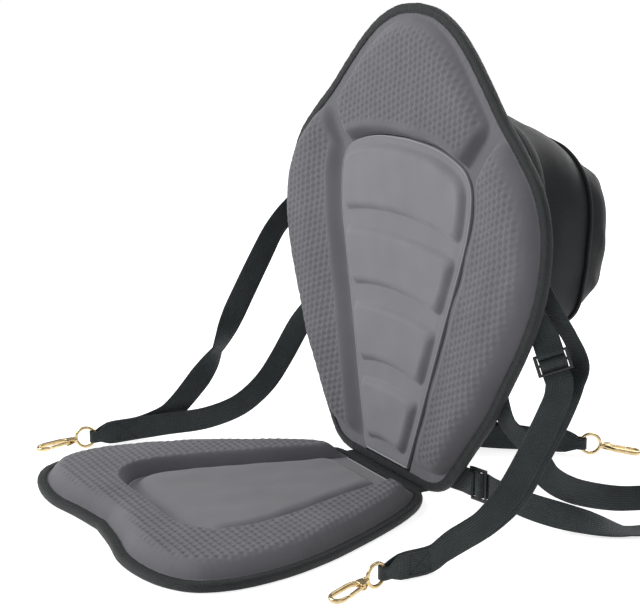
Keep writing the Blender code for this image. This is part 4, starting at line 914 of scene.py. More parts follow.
def puckers(points, loop, seed):
    """Small folds running in from a sewn edge, dying out over their reach."""
    run = run_lengths(closed_line(loop))[:-1]
    depth = np.maximum(distance_inside(points, loop), 0.0)
    near = np.zeros(len(points))
    close = np.flatnonzero(depth < 3 * PUCKER_REACH)
    for start in range(0, len(close), 4000):
        part = close[start:start + 4000]
        gap = np.hypot(points[part, None, 0] - loop[None, :, 0], points[part, None, 1] - loop[None, :, 1])
        near[part] = run[gap.argmin(axis=1)]
    phase = 2 * math.pi * near / PUCKER_PITCH
    wobble = np.sin(phase) + 0.6 * np.sin(phase * 0.37 + seed) + 0.4 * np.sin(phase * 1.83 + 2 * seed)
    return PUCKER * wobble * np.exp(-depth / PUCKER_REACH)


def ease(t):
    t = np.clip(t, 0.0, 1.0)
    return t * t * (3.0 - 2.0 * t)


def mask_from(distance, start, width):
    """0 up to a distance and 1 beyond the width after it."""
    return np.clip((distance - start) / width, 0, 1)


def back_distances(points, outline, panel):
    """Distances in from the bolsters' outer edge, out from the panel, and across the valleys."""
    edge = distance_inside(points, outline) - BOLSTER_INSET
    wall = -distance_inside(points, panel) - 2 * GAP - 0.002
    u = np.abs(points[:, 0]) - VALLEY_START[0]
    v = points[:, 1] - VALLEY_START[1]
    return edge, wall, u * math.sin(VALLEY_HEADING) - v * math.cos(VALLEY_HEADING)


def back_form(v, edge, wall, across):
    """Full bolsters with a soft inner flank and a round outer shoulder, and a raised head pad."""
    edge = edge + 0.001
    bolster = soft_min(edge, across - VALLEY_HALF, 0.024)
    bolster = soft_min(bolster, v - BOLSTER_FOOT_V, 0.018)
    flank = ease(np.minimum(wall / BOLSTER_FLANK, (across - VALLEY_HALF) / BOLSTER_WALL))
    crest = ease((wall - 0.012) / 0.060)
    side = (FLANK_RISE * flank + CREST_RISE * crest) * rise(bolster, BOLSTER_ROUND, 2.2)
    margin = HEAD_MARGIN * (1.0 - np.exp(-(BACK_HEIGHT - v) / 0.035))
    head = soft_min(edge - margin, -across - VALLEY_HALF, 0.014)
    crown = rise(np.minimum(wall, -across - VALLEY_HALF), BOLSTER_WALL) * rise(head, HEAD_ROUND, 2.2)
    return PAD_BASE + PAD_MARGIN + np.where(across > 0, side, HEAD_FULL * crown)


def back_height(points, outline, panel, base_line):
    """The outer pad's relief, with pits on the bolsters and the head pad."""
    edge, wall, across = back_distances(points, outline, panel)
    v = points[:, 1]
    relief = back_form(v, edge, wall, across)
    mask = mask_from(edge, np.where(across > 0, 0.007, 0.008), 0.008)
    mask *= mask_from(wall, np.where(across > 0, 0.019, 0.012), 0.004)
    mask *= np.clip((np.abs(across) - VALLEY_HALF - 0.012) / 0.004, 0, 1)
    mask *= np.clip((v - BOLSTER_FOOT_V - 0.012) / 0.006, 0, 1)
    relief -= BACK_PIT_DEPTH * mask * pits(v, points[:, 0], *BACK_PITS)
    relief += 0.00030 * waves(points, 3, 0.055) * mask_from(edge, 0, 0.02)
    return relief + puckers(points, base_line, 1.3)


def seat_height(points, outline, window, base_line):
    """The horseshoe pad's relief, with pits on its bolster."""
    relief = seat_relief(points, outline, window)
    edge = distance_inside(points, outline) - BOLSTER_INSET
    wall = -distance_inside(points, window) - 2 * GAP
    rear = SEAT_REAR_Y - BOLSTER_INSET - points[:, 1]
    mask = mask_from(edge, 0.010, 0.007) * mask_from(wall, 0.007, 0.005) * mask_from(rear, 0.004, 0.008)
    relief -= SEAT_PIT_DEPTH * mask * pits(points[:, 0], points[:, 1], *SEAT_PITS)
    relief += 0.00025 * waves(points, 5, 0.055) * mask_from(edge, 0, 0.02)
    return relief + puckers(points, base_line, 2.1)


def panel_height(points, panel):
    """The centre panel's relief, with a groove beside its edge."""
    edge = distance_inside(points, panel)
    relief = panel_relief(points, edge)
    relief += PAD_WAVE * waves(points, 9, 0.045) * mask_from(edge, FLANGE_WIDTH, 0.006)
    return relief - 0.0005 * np.exp(-0.5 * ((edge - 0.0030) / 0.0007) ** 2)


def pillow_height(points, window):
    inner = mask_from(distance_inside(points, window), SEAT_PILLOW_INSET, 0.010)
    return seat_pillow_relief(points, window) + PAD_WAVE * waves(points, 11, 0.050) * inner


def dense(loop, step):
    """A closed polyline with points at about this step on its own sides."""
    out = []
    for p, q in zip(loop, np.roll(loop, -1, axis=0)):
        pieces = max(1, int(round(np.linalg.norm(q - p) / step)))
        for k in range(pieces):
            out.append(p + (q - p) * k / pieces)
    return np.array(out)


def build_pad(name, body, loop, height, look, node):
    verts, faces = fine_sheet(dense(loop, 0.7 * NET_STEP), height)
    obj = face_out(add_mesh(name, PLACES[body](verts), faces, look))
    finish_piece(obj, body, "grey_fabric", node)


def edge_highlight_bead(name, body, loop, inset, height, lift, radius):
    """A bead along a middle pad's edge in a pale grey: a painted highlight of the moulded edge."""
    seam = dense(offset_loop(loop, -inset), 0.004)
    line = np.column_stack([seam, height(seam) + lift])
    tube(body, PLACES[body], name, line, radius, "edge", "grey_fabric")


def build_pads():
    outline = mirrored_loop(SEAT_OUTLINE, 360)
    half = SEAT_WINDOW + [(0.056, SEAT_REAR_Y - TAPE_WIDTH - GAP)]
    window = window_loop(half, 200)
    edge = offset_loop(outline, -TAPE - 2 * GAP)
    build_pad("pad_seat_bolster", "seat", horseshoe(edge, window_line(half[::-1], 200)),
              lambda p: seat_height(p, outline, window, edge), "pad_seat", "seat_pad")
    build_pad("pad_seat_pillow", "seat", offset_loop(window, -2 * GAP),
              lambda p: pillow_height(p, window), "pillow", "seat_centre_pad")
    edge_highlight_bead("pillow_edge_highlight", "seat", window, 0.0016, lambda p: pillow_height(p, window), 0.0001, 0.0006)

    outline_back = mirrored_loop(BACK_OUTLINE[1:], 480)
    panel = window_line(PANEL_OUTLINE, 300)
    line = window_line([(PANEL_OUTLINE[0][0], TAPE + GAP)] + PANEL_OUTLINE[1:], 300)
    edge_back = offset_loop(outline_back, -TAPE - 2 * GAP)
    build_pad("pad_back_bolster", "backrest", flipped(horseshoe(flipped(edge_back), flipped(line)[::-1])),
              lambda p: back_height(p, outline_back, panel, edge_back), "pad_back", "back_pad")
    build_pad("pad_back_panel", "backrest", offset_loop(panel, -2 * GAP),
              lambda p: panel_height(p, panel), "panel", "back_centre_panel")
    edge_highlight_bead("panel_edge_highlight", "backrest", panel, 0.0014, lambda p: panel_height(p, panel), 0.0002, 0.0008)


# Bindings

def binding(name, loop, body, node, seed):
    """Folded tape round a panel's edge, gathered a little where the edge turns, with a row of stitches."""
    top = PANEL_THICK
    section = [(-TAPE_WIDTH, 0.0002), (-TAPE_WIDTH * 0.6, 0.0), (-0.0006, 0.0), (0.6 * TAPE_BULGE, 0.0010),
               (0.92 * TAPE_BULGE, 0.0028), (TAPE_BULGE, top / 2), (0.92 * TAPE_BULGE, top - 0.0028),
               (0.6 * TAPE_BULGE, top - 0.0010), (-0.0008, top + 0.0001), (-TAPE_WIDTH * 0.55, top + 0.0002),
               (-TAPE_WIDTH + 0.0004, top - 0.0001), (-TAPE_WIDTH, top - 0.5 * TAPE),
               (-TAPE_WIDTH + 0.0003, top - TAPE), (-TAPE, top - TAPE), (-TAPE, TAPE)]
    run = run_lengths(closed_line(loop))
    width = np.cumsum([0.0] + [math.dist(section[k], section[k - 1]) for k in range(1, len(section))])
    phase = 2 * math.pi * run[:-1] / 0.0075
    gather = 0.6 * np.sin(phase + seed) + 0.5 * np.sin(0.43 * phase) + 0.4 * np.sin(1.71 * phase + 2 * seed)
    normals = loop_normals(loop)
    rings = []
    for k, (out, w) in enumerate(section):
        lip = 1.0 if 6 <= k <= 11 else 0.5 if k < 6 else 0.0
        flat = loop + normals * (out + 0.00022 * lip * np.roll(gather, 2 * k))[:, None]
        rings.append(np.column_stack([flat, w + 0.00020 * lip * gather * (k > 5)]))
    verts, faces = loft_round(rings)
    uvs = np.vstack([np.column_stack([np.full(len(loop), w), run[:-1]]) for w in width])
    obj = face_out(add_mesh(name, PLACES[body](verts), faces, "binding", uvs))
    finish_piece(obj, body, "webbing_black", node)
    stitches(name + "_stitches", loop, normals, run, body)


def add_stitch(verts, faces, stations):
    """A stitch with a diamond section at three stations: a point, its side and up, and a half width."""
    base = len(verts)
    for at, side, up, half in stations:
        for a, b in ((-1, 0), (0, 1), (1, 0), (0, -1)):
            verts.append(at + side * a * half + up * b * half)
    for i in range(2):
        for j in range(4):
            m = (j + 1) % 4
            faces.append((base + 4 * i + j, base + 4 * i + m, base + 4 * i + 4 + m, base + 4 * i + 4 + j))
    faces += [(base, base + 1, base + 2, base + 3), (base + 11, base + 10, base + 9, base + 8)]


def stitches(name, loop, normals, run, body):
    """A row of sewn stitches along the tape's inner lip."""
    line = closed_line(loop)
    out = closed_line(normals)
    up = np.array([0.0, 0.0, 1.0])
    verts = []
    faces = []
    for k in range(int(run[-1] / STITCH_PITCH)):
        stations = []
        for part, lift, half in zip((0.0, 0.5, 1.0), (0.0001, 0.00055, 0.0001), BINDING_THREAD):
            s = k * STITCH_PITCH + part * STITCH_LENGTH
            side = unit([np.interp(s, run, out[:, a]) for a in range(2)])
            at = np.array([np.interp(s, run, line[:, a]) for a in range(2)]) - side * (TAPE_WIDTH - 0.0021)
            stations.append((np.array([*at, PANEL_THICK + lift]), np.array([*side, 0.0]), up, half))
        add_stitch(verts, faces, stations)
    obj = face_out(add_mesh(name, PLACES[body](verts), faces, "thread"))
    finish_piece(obj, body, "webbing_black")


def build_bindings():
    share = 1.0
    seat_edge = mirrored_loop(SEAT_OUTLINE, int(560 * share))
    back_edge = mirrored_loop(BACK_OUTLINE[1:], int(680 * share))
    binding("binding_seat", seat_edge, "seat", "seat_binding", 0.7)
    binding("binding_back", back_edge, "backrest", "back_binding", 2.2)


def build_hinge_cloth():
    """The sewn strip in the fold: an angle of gathered cloth."""
    front = SEAT_REAR_Y + TAPE_BULGE + GAP
    top = HINGE_Z - TAPE_BULGE - BACK_SET * math.sin(BACK_TILT) - 2 * GAP
    rear = BACK_SET * math.cos(BACK_TILT) - 2 * GAP
    thick = HINGE_SHEET
    profile = [(front, 0.0010), (front + thick, 0.0010)]
    for k in range(5):
        angle = math.radians(90 * k / 4)
        profile.append((front + thick + 0.0015 * (1 - math.cos(angle)),
                        top - thick - 0.0015 * (1 - math.sin(angle))))
    profile += [(rear, top - thick), (rear, top)]
    for k in range(5):
        angle = math.radians(90 - 90 * k / 4)
        profile.append((front + 0.0020 * (1 - math.cos(angle)), top - 0.0020 * (1 - math.sin(angle))))
    rings = []
    for x in np.linspace(-HINGE_HALF, HINGE_HALF, 140):
        fold = 0.00035 * (math.sin(x * 900) + 0.6 * math.sin(x * 410 + 1.0))
        fold *= math.exp(-(x / 0.05) ** 2) + 0.35
        rings.append(np.array([(x, y + 0.5 * fold, z - abs(fold)) for y, z in profile]))
    verts, faces = loft_rings(rings)
    uvs = np.array([(p[1] + p[2], p[0]) for p in verts])
    obj = face_out(add_mesh("hinge_cloth", seat_place(verts), faces, "binding", uvs))
    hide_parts("hinge_strip")
    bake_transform(obj)


# Webbing

def refined(path):
    """A strand's rows with smooth rows between them."""
    points = np.array([row[0] for row in path], float)
    normals = np.array([unit(row[1]) for row in path])
    for k in range(1, len(normals)):
        if normals[k] @ normals[k - 1] < 0:
            normals[k] = -normals[k]
    rows = smooth_curve(points, per_span=ROWS_BETWEEN)
    stops = np.linspace(0, len(path) - 1, len(rows))
    between = [np.interp(stops, np.arange(len(path)), normals[:, k]) for k in range(3)]
    return rows, np.column_stack(between), np.interp(stops, np.arange(len(path)), [row[2] for row in path])


def strip(name, path):
    """A webbing strip with rounded selvedges, its UV map in metres across and along."""
    points, normals, widths = refined(path)
    tangents = np.gradient(points, axis=0)
    run = run_lengths(points)
    half = WEB_THICK / 2
    face = [(-1.0, 0.0), (-0.985, 0.7), (-0.93, 1.0), (-0.5, 0.96), (0.0, 0.95), (0.5, 0.96), (0.93, 1.0),
            (0.985, 0.7)]
    outline = face + [(-a, -b) for a, b in face]
    rings = []
    uvs = []
    for point, normal, width, tangent, s in zip(points, normals, widths, tangents, run):
        along = unit(tangent)
        flat = unit(normal - along * np.dot(normal, along))
        side = np.cross(along, flat)
        ring = []
        for a, b in outline:
            ring.append(point + side * a * width / 2 + flat * (b * half))
            uvs.append((a * width / 2 + (0.1 if b < 0 else 0.0), s))
        rings.append(np.array(ring))
    verts, faces = loft_rings(rings)
    return face_out(add_mesh(name, verts + SHIFT, faces, "webbing", np.array(uvs)))


def sewn_box(name, path, first, last, sign):
    """A stitched box with a cross on a doubled strip: threads along the given rows, on one face."""
    points, normals, widths = refined(path)
    tangents = np.gradient(points, axis=0)
    verts = []
    faces = []

    def spot(row, share):
        low = int(row)
        mix = row - low
        point = points[low] * (1 - mix) + points[low + 1] * mix
        along = unit(tangents[low])
        normal = unit(normals[low] - along * np.dot(normals[low], along))
        side = np.cross(along, normal)
        out = normal * sign * (WEB_THICK / 2 + 0.0001)
        return point + side * share * (widths[low] / 2 - BOX_INSET) + out

    def thread(start, end):
        count = max(3, int(np.linalg.norm(spot(*end) - spot(*start)) / BOX_PITCH))
        for k in range(count):
            rows = [(start[0] + (end[0] - start[0]) * t, start[1] + (end[1] - start[1]) * t)
                    for t in ((k + 0.12) / count, (k + 0.80) / count)]
            p = spot(*rows[0])
            q = spot(*rows[1])
            along = unit(q - p)
            side = unit(np.cross(along, normals[int(rows[0][0])]))
            up = np.cross(side, along)
            middle = (p + q) / 2 + up * sign * 0.0002
            add_stitch(verts, faces, [(at, side, up, half) for at, half in zip((p, middle, q), BOX_THREAD)])

    corners = [(first, -1.0), (first, 1.0), (last, 1.0), (last, -1.0)]
    for a, b in ((0, 1), (1, 2), (2, 3), (3, 0), (0, 2), (1, 3)):
        thread(corners[a], corners[b])
    return face_out(add_mesh(name, np.array(verts) + SHIFT, faces, "thread"))


def build_webbing():
    """Four straps, each folded round a hook's ring, with one end sewn to the backrest and one in a slide."""
    aslant = (0.875, -0.485, 0.0)
    rear = (0.0, -math.cos(BACK_TILT), math.sin(BACK_TILT))
    flat_down = (0.0, 0.0, 1.0)
    apart = WEB_THICK / 2 + GAP

    slide = (np.array((0.240, 0.040, 0.182)), unit((-0.35, -0.15, 0.92)), np.array(aslant))
    rows = [((0.2535, -0.080, 0.026), (0.97, -0.20, 0.0)), ((0.2505, -0.045, 0.037), (0.93, -0.37, 0.0)),
            ((0.2480, -0.018, 0.056), aslant), ((0.2470, 0.003, 0.082), aslant),
            ((0.2480, 0.0185, 0.108), aslant), ((0.2495, 0.032, 0.134), aslant),
            ((0.2498, 0.0395, 0.150), aslant)]
    long_rows = [((0.2485, -0.075, 0.022), (0.97, -0.20, 0.0)),
                 ((0.2460, -0.035, 0.035), (0.93, -0.37, 0.0)), ((0.2455, -0.005, 0.055), aslant),
                 ((0.2455, 0.015, 0.083), aslant), ((0.2450, 0.033, 0.110), aslant),
                 ((0.2440, 0.050, 0.138), (0.60, -0.80, 0.0)),
                 ((0.2435, 0.063, 0.160), (0.20, -0.98, 0.0)),
                 ((0.2430, 0.070, 0.174), (0.10, -0.98, 0.0)),
                 ((0.2410, 0.068, 0.188), (0.05, -0.98, 0.0)), ((0.2380, 0.059, 0.206), rear),
                 ((0.2290, 0.042, 0.238), rear), (behind(0.216, 0.270, 0.002), rear),
                 (behind(0.212, 0.300), rear)]
    one_strap("front_left", (0.2585, -0.1595), (0.07, -0.9975), rows, slide, long_rows, True,
              [((0.2310, 0.0355, 0.2060), (0.75, -0.65, 0.1)), (behind(0.2140, 0.222, apart), rear),
               (behind(0.1980, 0.232, apart), rear)])

    slide = (np.array((-0.222, 0.042, 0.171)), unit((0.10, 0.10, 0.99)), unit((0.30, -0.95, 0.066)))
    rows = [((-0.2462, -0.150, 0.0150), (1.0, 0.0, 0.0)), ((-0.2405, -0.105, 0.0165), (0.95, -0.25, 0.0)),
            ((-0.2360, -0.062, 0.028), (0.9, -0.43, 0.0)), ((-0.2325, -0.030, 0.052), aslant),
            ((-0.2300, -0.006, 0.085), aslant), ((-0.2280, 0.014, 0.118), (0.7, -0.71, 0.0))]
    long_rows = [((-0.2518, -0.150, 0.024), (1.0, 0.0, 0.0)),
                 ((-0.2508, -0.107, 0.064), (0.9, -0.43, 0.0)),
                 ((-0.2500, -0.084, 0.095), (0.78, 0.63, 0.0)),
                 ((-0.2495, -0.060, 0.141), (-0.9, 0.43, 0.0)),
                 ((-0.2510, -0.026, 0.200), (-0.95, 0.30, 0.0)),
                 ((-0.2560, -0.002, 0.234), (-1.0, 0.05, 0.0)),
                 ((-0.2590, 0.020, 0.254), (-1.0, 0.10, 0.0)),
                 ((-0.2530, 0.038, 0.270), (-0.6, 0.8, 0.0)), ((-0.2380, 0.038, 0.282), (-0.1, 1.0, 0.0)),
                 (behind(-0.222, 0.284, 0.002), rear), (behind(-0.200, 0.300), rear)]
    one_strap("front_right", (-0.2487, -0.2425), (0.026, -0.9997), rows, slide, long_rows, True,
              [((-0.2180, 0.0390, 0.1980), (0.25, -0.95, 0.06)), (behind(-0.2080, 0.216, apart), rear),
               (behind(-0.2000, 0.238, apart), rear)])

    slide = (np.array((0.152, 0.018, 0.034)), unit((-0.98, -0.19, 0.0)), unit((0.19, -0.98, 0.0)))
    rows = [((0.2708, 0.184, 0.0112), (0.6, -0.2, 0.75)), ((0.2718, 0.152, 0.0032), flat_down),
            ((0.2650, 0.120, 0.0032), flat_down), ((0.2450, 0.084, 0.0125), (0.5, -0.4, 0.75)),
            ((0.2220, 0.056, 0.0200), (0.7, -0.6, 0.3)), ((0.2020, 0.038, 0.0260), (0.6, -0.8, 0.1))]
    long_rows = [((0.2265, 0.184, 0.0146), (0.95, -0.30, 0.0)),
                 ((0.2180, 0.150, 0.017), (0.98, -0.10, 0.0)),
                 ((0.2170, 0.115, 0.026), (0.98, -0.10, 0.0)),
                 ((0.2195, 0.078, 0.041), (0.95, -0.3, 0.0)), ((0.2190, 0.052, 0.060), (0.8, -0.6, 0.0)),
                 ((0.2080, 0.042, 0.085), (0.4, -0.9, 0.0)), (behind(0.197, 0.104, 0.003), rear),
                 (behind(0.188, 0.124), rear), (behind(0.180, 0.148), rear)]
    one_strap("rear_left", (0.272, 0.262), (0.35, 0.937), rows, slide, long_rows, False,
              [((0.1290, 0.0140, 0.0340), (0.05, -1.0, 0.0)), (behind(0.1130, 0.0240, apart), rear),
               (behind(0.0980, 0.0240, apart), rear)])

    slide = (np.array((-0.140, 0.0433, 0.034)), unit((-0.2, -0.98, 0.0)), unit((0.98, -0.2, 0.0)))
    rows = [((-0.0350, 0.139, 0.0148), (0.65, -0.76, 0.0)), ((-0.0850, 0.098, 0.018), (0.65, -0.76, 0.0)),
            ((-0.1180, 0.078, 0.028), (0.75, -0.66, 0.0))]
    long_rows = [((-0.0420, 0.155, 0.0165), (0.68, -0.73, 0.0)),
                 ((-0.0950, 0.118, 0.026), (0.6, -0.8, 0.0)), ((-0.1430, 0.086, 0.046), (0.6, -0.8, 0.0)),
                 ((-0.1740, 0.060, 0.070), (0.4, -0.9, 0.0)), ((-0.1870, 0.042, 0.094), (0.1, -1.0, 0.0)),
                 (behind(-0.188, 0.108, 0.004), rear), (behind(-0.186, 0.126, 0.0003), rear),
                 (behind(-0.180, 0.150, 0.0002), rear)]
    one_strap("rear_right", (0.0437, 0.2328), (0.68, 0.733), rows, slide, long_rows, False,
              [((-0.1415, 0.0235, 0.0340), (0.97, -0.2, 0.0)),
               ((-0.1350, 0.0165, 0.0340), (0.73, 0.68, 0.0)), (behind(-0.1230, 0.0240, apart), AWAY),
               (behind(-0.1080, 0.0240, apart), AWAY)])

    build_snap_hook("front_left", (0.2585, -0.1595), (0.233, -0.972))
    build_snap_hook("front_right", (-0.2487, -0.2425), (-0.231, -0.973))
    build_snap_hook("rear_left", (0.272, 0.262), (0.40, 0.917))
    build_snap_hook("rear_right", (0.0437, 0.2328), (0.54, 0.842))


def facing(vector, other):
    """1 where the two point the same way, otherwise -1."""
    return 1.0 if np.dot(vector, other) > 0 else -1.0


def one_strap(tag, axis_point, heading, rows, slide, long_rows, slide_first, seats):
    """A strap with its slide and its tab; the strand on the ring's left side comes first."""
    centre, along, flat = slide
    flat = unit(flat - along * np.dot(flat, along))
    threaded = slide_rows(centre, along, flat)
    fold = ring_loop(axis_point, unit(heading))
    ends = (fold[0], fold[-1]) if slide_first else (fold[-1], fold[0])
    short = run_between([(ends[0][0], ends[0][1])] + rows + [(threaded[0][0], threaded[0][1])])
    sign = facing(short[-1][1], threaded[0][1])
    short = short[:-1] + [(p, n * sign, w) for p, n, w in threaded]
    long = run_between([(ends[1][0], ends[1][1])] + long_rows)
    if slide_first:
        path = short[::-1][:-1] + fold + long[1:]
        first = len(short) - 1
    else:
        path = long[::-1][:-1] + fold + short[1:]
        first = len(long) - 1
    path = steady(path)
    last = first + len(fold) - 1
    reach = (np.array(ends[0][0]) + SHIFT, np.array(centre) + SHIFT)
    finish_blend(strip("webbing_" + tag, path), reach, "strap_" + tag)
    axis = np.array([axis_point[0], axis_point[1], path[first][0][2]])
    ahead = np.array([*unit(heading), 0.0])
    for number, (a, b) in enumerate(((first, first + 1), (last - 1, last))):
        point, normal, _ = path[a if number == 0 else b]
        out = point - axis - ahead * np.dot(point - axis, ahead)
        ends = (ROWS_BETWEEN * a + 0.4, ROWS_BETWEEN * b - 0.4)
        finish_blend(sewn_box(f"sewing_{tag}_{number}", path, *ends, facing(out, normal)), reach)
    a, b = (len(path) - 3, len(path) - 1) if slide_first else (0, 2)
    ends = (ROWS_BETWEEN * a + 0.6, ROWS_BETWEEN * b - 0.6)
    finish_blend(sewn_box(f"sewing_{tag}_2", path, *ends, facing(path[b][1], AWAY)), reach)
    build_slide(tag, centre, along, flat)
    build_tab(tag, centre, along, flat, seats)


def finish_blend(obj, reach, *nodes):
    """A webbing piece with its transform baked in and the named nodes hidden."""
    if nodes:
        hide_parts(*nodes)
    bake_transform(obj)


def build_slide(tag, centre, along, flat):
    """A moulded three-bar slide with rounded bars."""
    bar = SLIDE_BAR / 2
    inner = WEB_WIDTH / 2 + 0.0006
    xs = [-SLIDE_PITCH - bar, -SLIDE_PITCH + bar, -bar, bar, SLIDE_PITCH - bar, SLIDE_PITCH + bar]
    ys = [-inner - SLIDE_SIDE, -inner, inner, inner + SLIDE_SIDE]
    verts, faces = grid_plate(xs, ys, [(1, 1), (3, 1)], SLIDE_BAR)
    across = np.cross(flat, along)
    turn = np.column_stack([along, across, flat])
    placed = np.array(verts) @ turn.T + centre + SHIFT
    obj = edited(add_mesh("buckle_" + tag, placed, faces, "plastic"), lambda bm: bmesh.ops.dissolve_limit(
        bm, angle_limit=math.radians(2), verts=bm.verts, edges=bm.edges))
    finish_piece(soft_edges(obj, 0.00075, 3, 32), "backrest", "plastic_black", "slide_" + tag)


def build_tab(tag, centre, along, flat, seats):
    """The webbing tab that holds a slide: from the rear face, round the slide's last bar and back."""
    bar = np.array(centre) + along * SLIDE_PITCH
    radius = SLIDE_BAR * 0.71 + 2 * GAP + WEB_THICK / 2
    apart = WEB_THICK / 2 + GAP
    rows = []
    for k in range(7):
        angle = math.radians(110 + 140 * k / 6)
        ray = along * math.cos(angle) + flat * math.sin(angle)
        rows.append((bar + ray * radius, ray, WEB_WIDTH - 0.0006))
    middle = run_between([(bar + along * 0.0065, flat)] + seats)
    tangents = np.gradient(np.array([row[0] for row in middle]), axis=0)
    far = []
    near = []
    for (point, normal, width), tangent in zip(middle, tangents):
        run = unit(tangent)
        out = unit(normal - run * np.dot(normal, run))
        spread = apart if far else 1.4 * apart
        far.append((point + out * spread, out, width))
        near.append((point - out * spread, -out, width))
    path = far[::-1] + rows + near
    finish_piece(strip("tab_" + tag, path), "backrest", "webbing_black", "slide_tab_" + tag)
    near_end, far_end = path[1], path[-2]
    at_start = np.dot(near_end[0], AWAY) >= np.dot(far_end[0], AWAY)
    first = 0 if at_start else ROWS_BETWEEN * (len(path) - 3)
    sign = facing((near_end if at_start else far_end)[1], AWAY)
    sewn = sewn_box("sewing_tab_" + tag, path, first + 0.6, first + 7.4, sign)
    finish_piece(sewn, "backrest", "webbing_black")


# Snap hooks

def merged(name, objects):
    """Several pieces as one mesh object."""
    bm = bmesh.new()
    for obj in objects:
        bm.from_mesh(obj.data)
    mesh = bpy.data.meshes.new(name)
    bm.to_mesh(mesh)
    bm.free()
    mesh.materials.append(objects[0].data.materials[0])
    for obj in objects:
        bpy.data.objects.remove(obj, do_unlink=True)
    mesh.shade_smooth()
    return linked(name, mesh)


def prism(outline, low, high):
    return loft_rings([np.array([(x, y, z) for x, y in outline]) for z in (low, high)])


def turns(count):
    """Even angles round a circle."""
    return [2 * math.pi * k / count for k in range(count)]


def transformed(points, matrix):
    m = np.array(matrix)
    return np.asarray(points, float) @ m[:3, :3].T + m[:3, 3] + SHIFT


def build_snap_hook(tag, axis_point, heading):
    """The cast ring, shank, cheeks and collar as one piece, and the gate as another."""
    world = hook_matrix(axis_point, heading)
    rings = []
    bar = RING_BAR * 0.97
    for a in turns(72):
        outward = np.array([math.cos(a), 0.0, math.sin(a)])
        across = np.array([0.0, bar, 0.0])
        rings.append(np.array([outward * (RING_MEAN + bar * math.cos(b)) + across * math.sin(b)
                               for b in turns(20)]))
    verts, faces = loft_round(rings)
    parts = [face_out(add_mesh("ring", transformed(verts, world), faces, "brass"))]

    line = smooth_curve([(x, y, 0.0) for x, y in hook_path()], per_span=5)
    count = len(line)

    def section(share):
        wide = HOOK_BAR * (1.10 - 0.32 * share) * 0.96
        tall = HOOK_DEPTH * (1.0 - 0.25 * share) * 0.94
        ends = min(1.0, 0.55 + 6.0 * min(share + 0.02, 1.02 - share))
        return [(tall * ends * math.sin(a), wide * ends * math.cos(a)) for a in turns(18)]

    verts, faces = sweep(line, [(0, 0, 1)] * count, section)
    parts.append(face_out(add_mesh("shank", transformed(verts, world), faces, "brass")))
    inner = GATE_BAR + GAP
    outline = resample(smooth_curve(ear_outline(), closed=True, per_span=4), 44)
    for side in (1, -1):
        verts, faces = prism(outline, *sorted((side * inner, side * (inner + EAR_THICK))))
        ear = add_mesh("ear", transformed(verts, world), faces, "brass")
        parts.append(soft_edges(ear, 0.00035, 2, 50))
    collar = [(0.0105, 0.0034), (0.0118, 0.0040), (0.0140, 0.0041), (0.0155, 0.0034)]
    rings = []
    for x, r in collar:
        rings.append(np.array([(x, 0.80 * r * math.cos(a) - 0.0004, 0.94 * r * math.sin(a))
                               for a in turns(24)]))
    verts, faces = loft_rings(rings)
    parts.append(soft_edges(add_mesh("collar", transformed(verts, world), faces, "brass"), 0.0003, 2, 40))
    hook = merged("hook_" + tag + "_cast", parts)
    finish_piece(hook, "hook_" + tag, "brass", "snap_hook_" + tag)

    length = GATE_NOSE_X - GATE_PIN_X - 2 * GAP
    lift = HOOK_HALF - GATE_PIN_Y
    heel = [math.radians(75 + 21 * k) for k in range(11)]
    outline = [(0.0021 * math.cos(a), 0.0021 * math.sin(a)) for a in heel]
    outline += [(length * 0.5, lift * 0.5 - 0.0016), (length, lift - 0.0013), (length, lift + 0.0011),
                (length - 0.003, lift + 0.0015), (length * 0.5, lift * 0.5 + 0.0017)]
    placed = [(x + GATE_PIN_X, y + GATE_PIN_Y) for x, y in outline]
    verts, faces = prism(placed, -GATE_BAR * 0.98, GATE_BAR * 0.98)
    gate = add_mesh("gate_" + tag + "_cast", transformed(verts, world), faces, "brass")
    finish_piece(soft_edges(gate, 0.0005, 3, 40), "gate_" + tag, "brass", "hook_gate_" + tag)


# Rear bag

def bag_ring(depth, angles):
    """The bag's outline at a depth: a flat foot, upright sides and a domed top."""
    share = depth / BAG_DEPTH
    top = BAG_TOP_V - 0.050 * share ** 2.2
    foot = BAG_FOOT_V + 0.048 * max(0.0, (share - 0.45) / 0.55) ** 1.5
    half = BAG_HALF * (1.0 - 0.06 * share ** 2)
    reach = min(1.0, max(0.0, (depth - BAG_DEPTH + BAG_ROUND) / BAG_ROUND))
    inset = 0.8 * BAG_ROUND * (1.0 - math.sqrt(1.0 - 0.97 * reach ** 2))
    middle = foot + 0.45 * (top - foot)
    c = np.cos(angles)
    s = np.sin(angles)
    power = np.where(s >= 0, 2 / 3.3, 2 / 4.5)
    u = np.sign(c) * np.abs(c) ** power * (half - inset)
    tall = np.where(s >= 0, top - middle, middle - foot) - inset
    return np.column_stack([u, middle + np.sign(s) * np.abs(s) ** power * tall, np.full(len(angles), -depth)])


def even_angles(count, depth=0.05):
    """Angles that share the bag's outline evenly."""
    fine = np.linspace(0.0, 2 * math.pi, 4001)
    run = run_lengths(bag_ring(depth, fine))
    stops = np.linspace(0.0, run[-1], count + 1)[:-1]
    return np.interp(stops, run, fine)


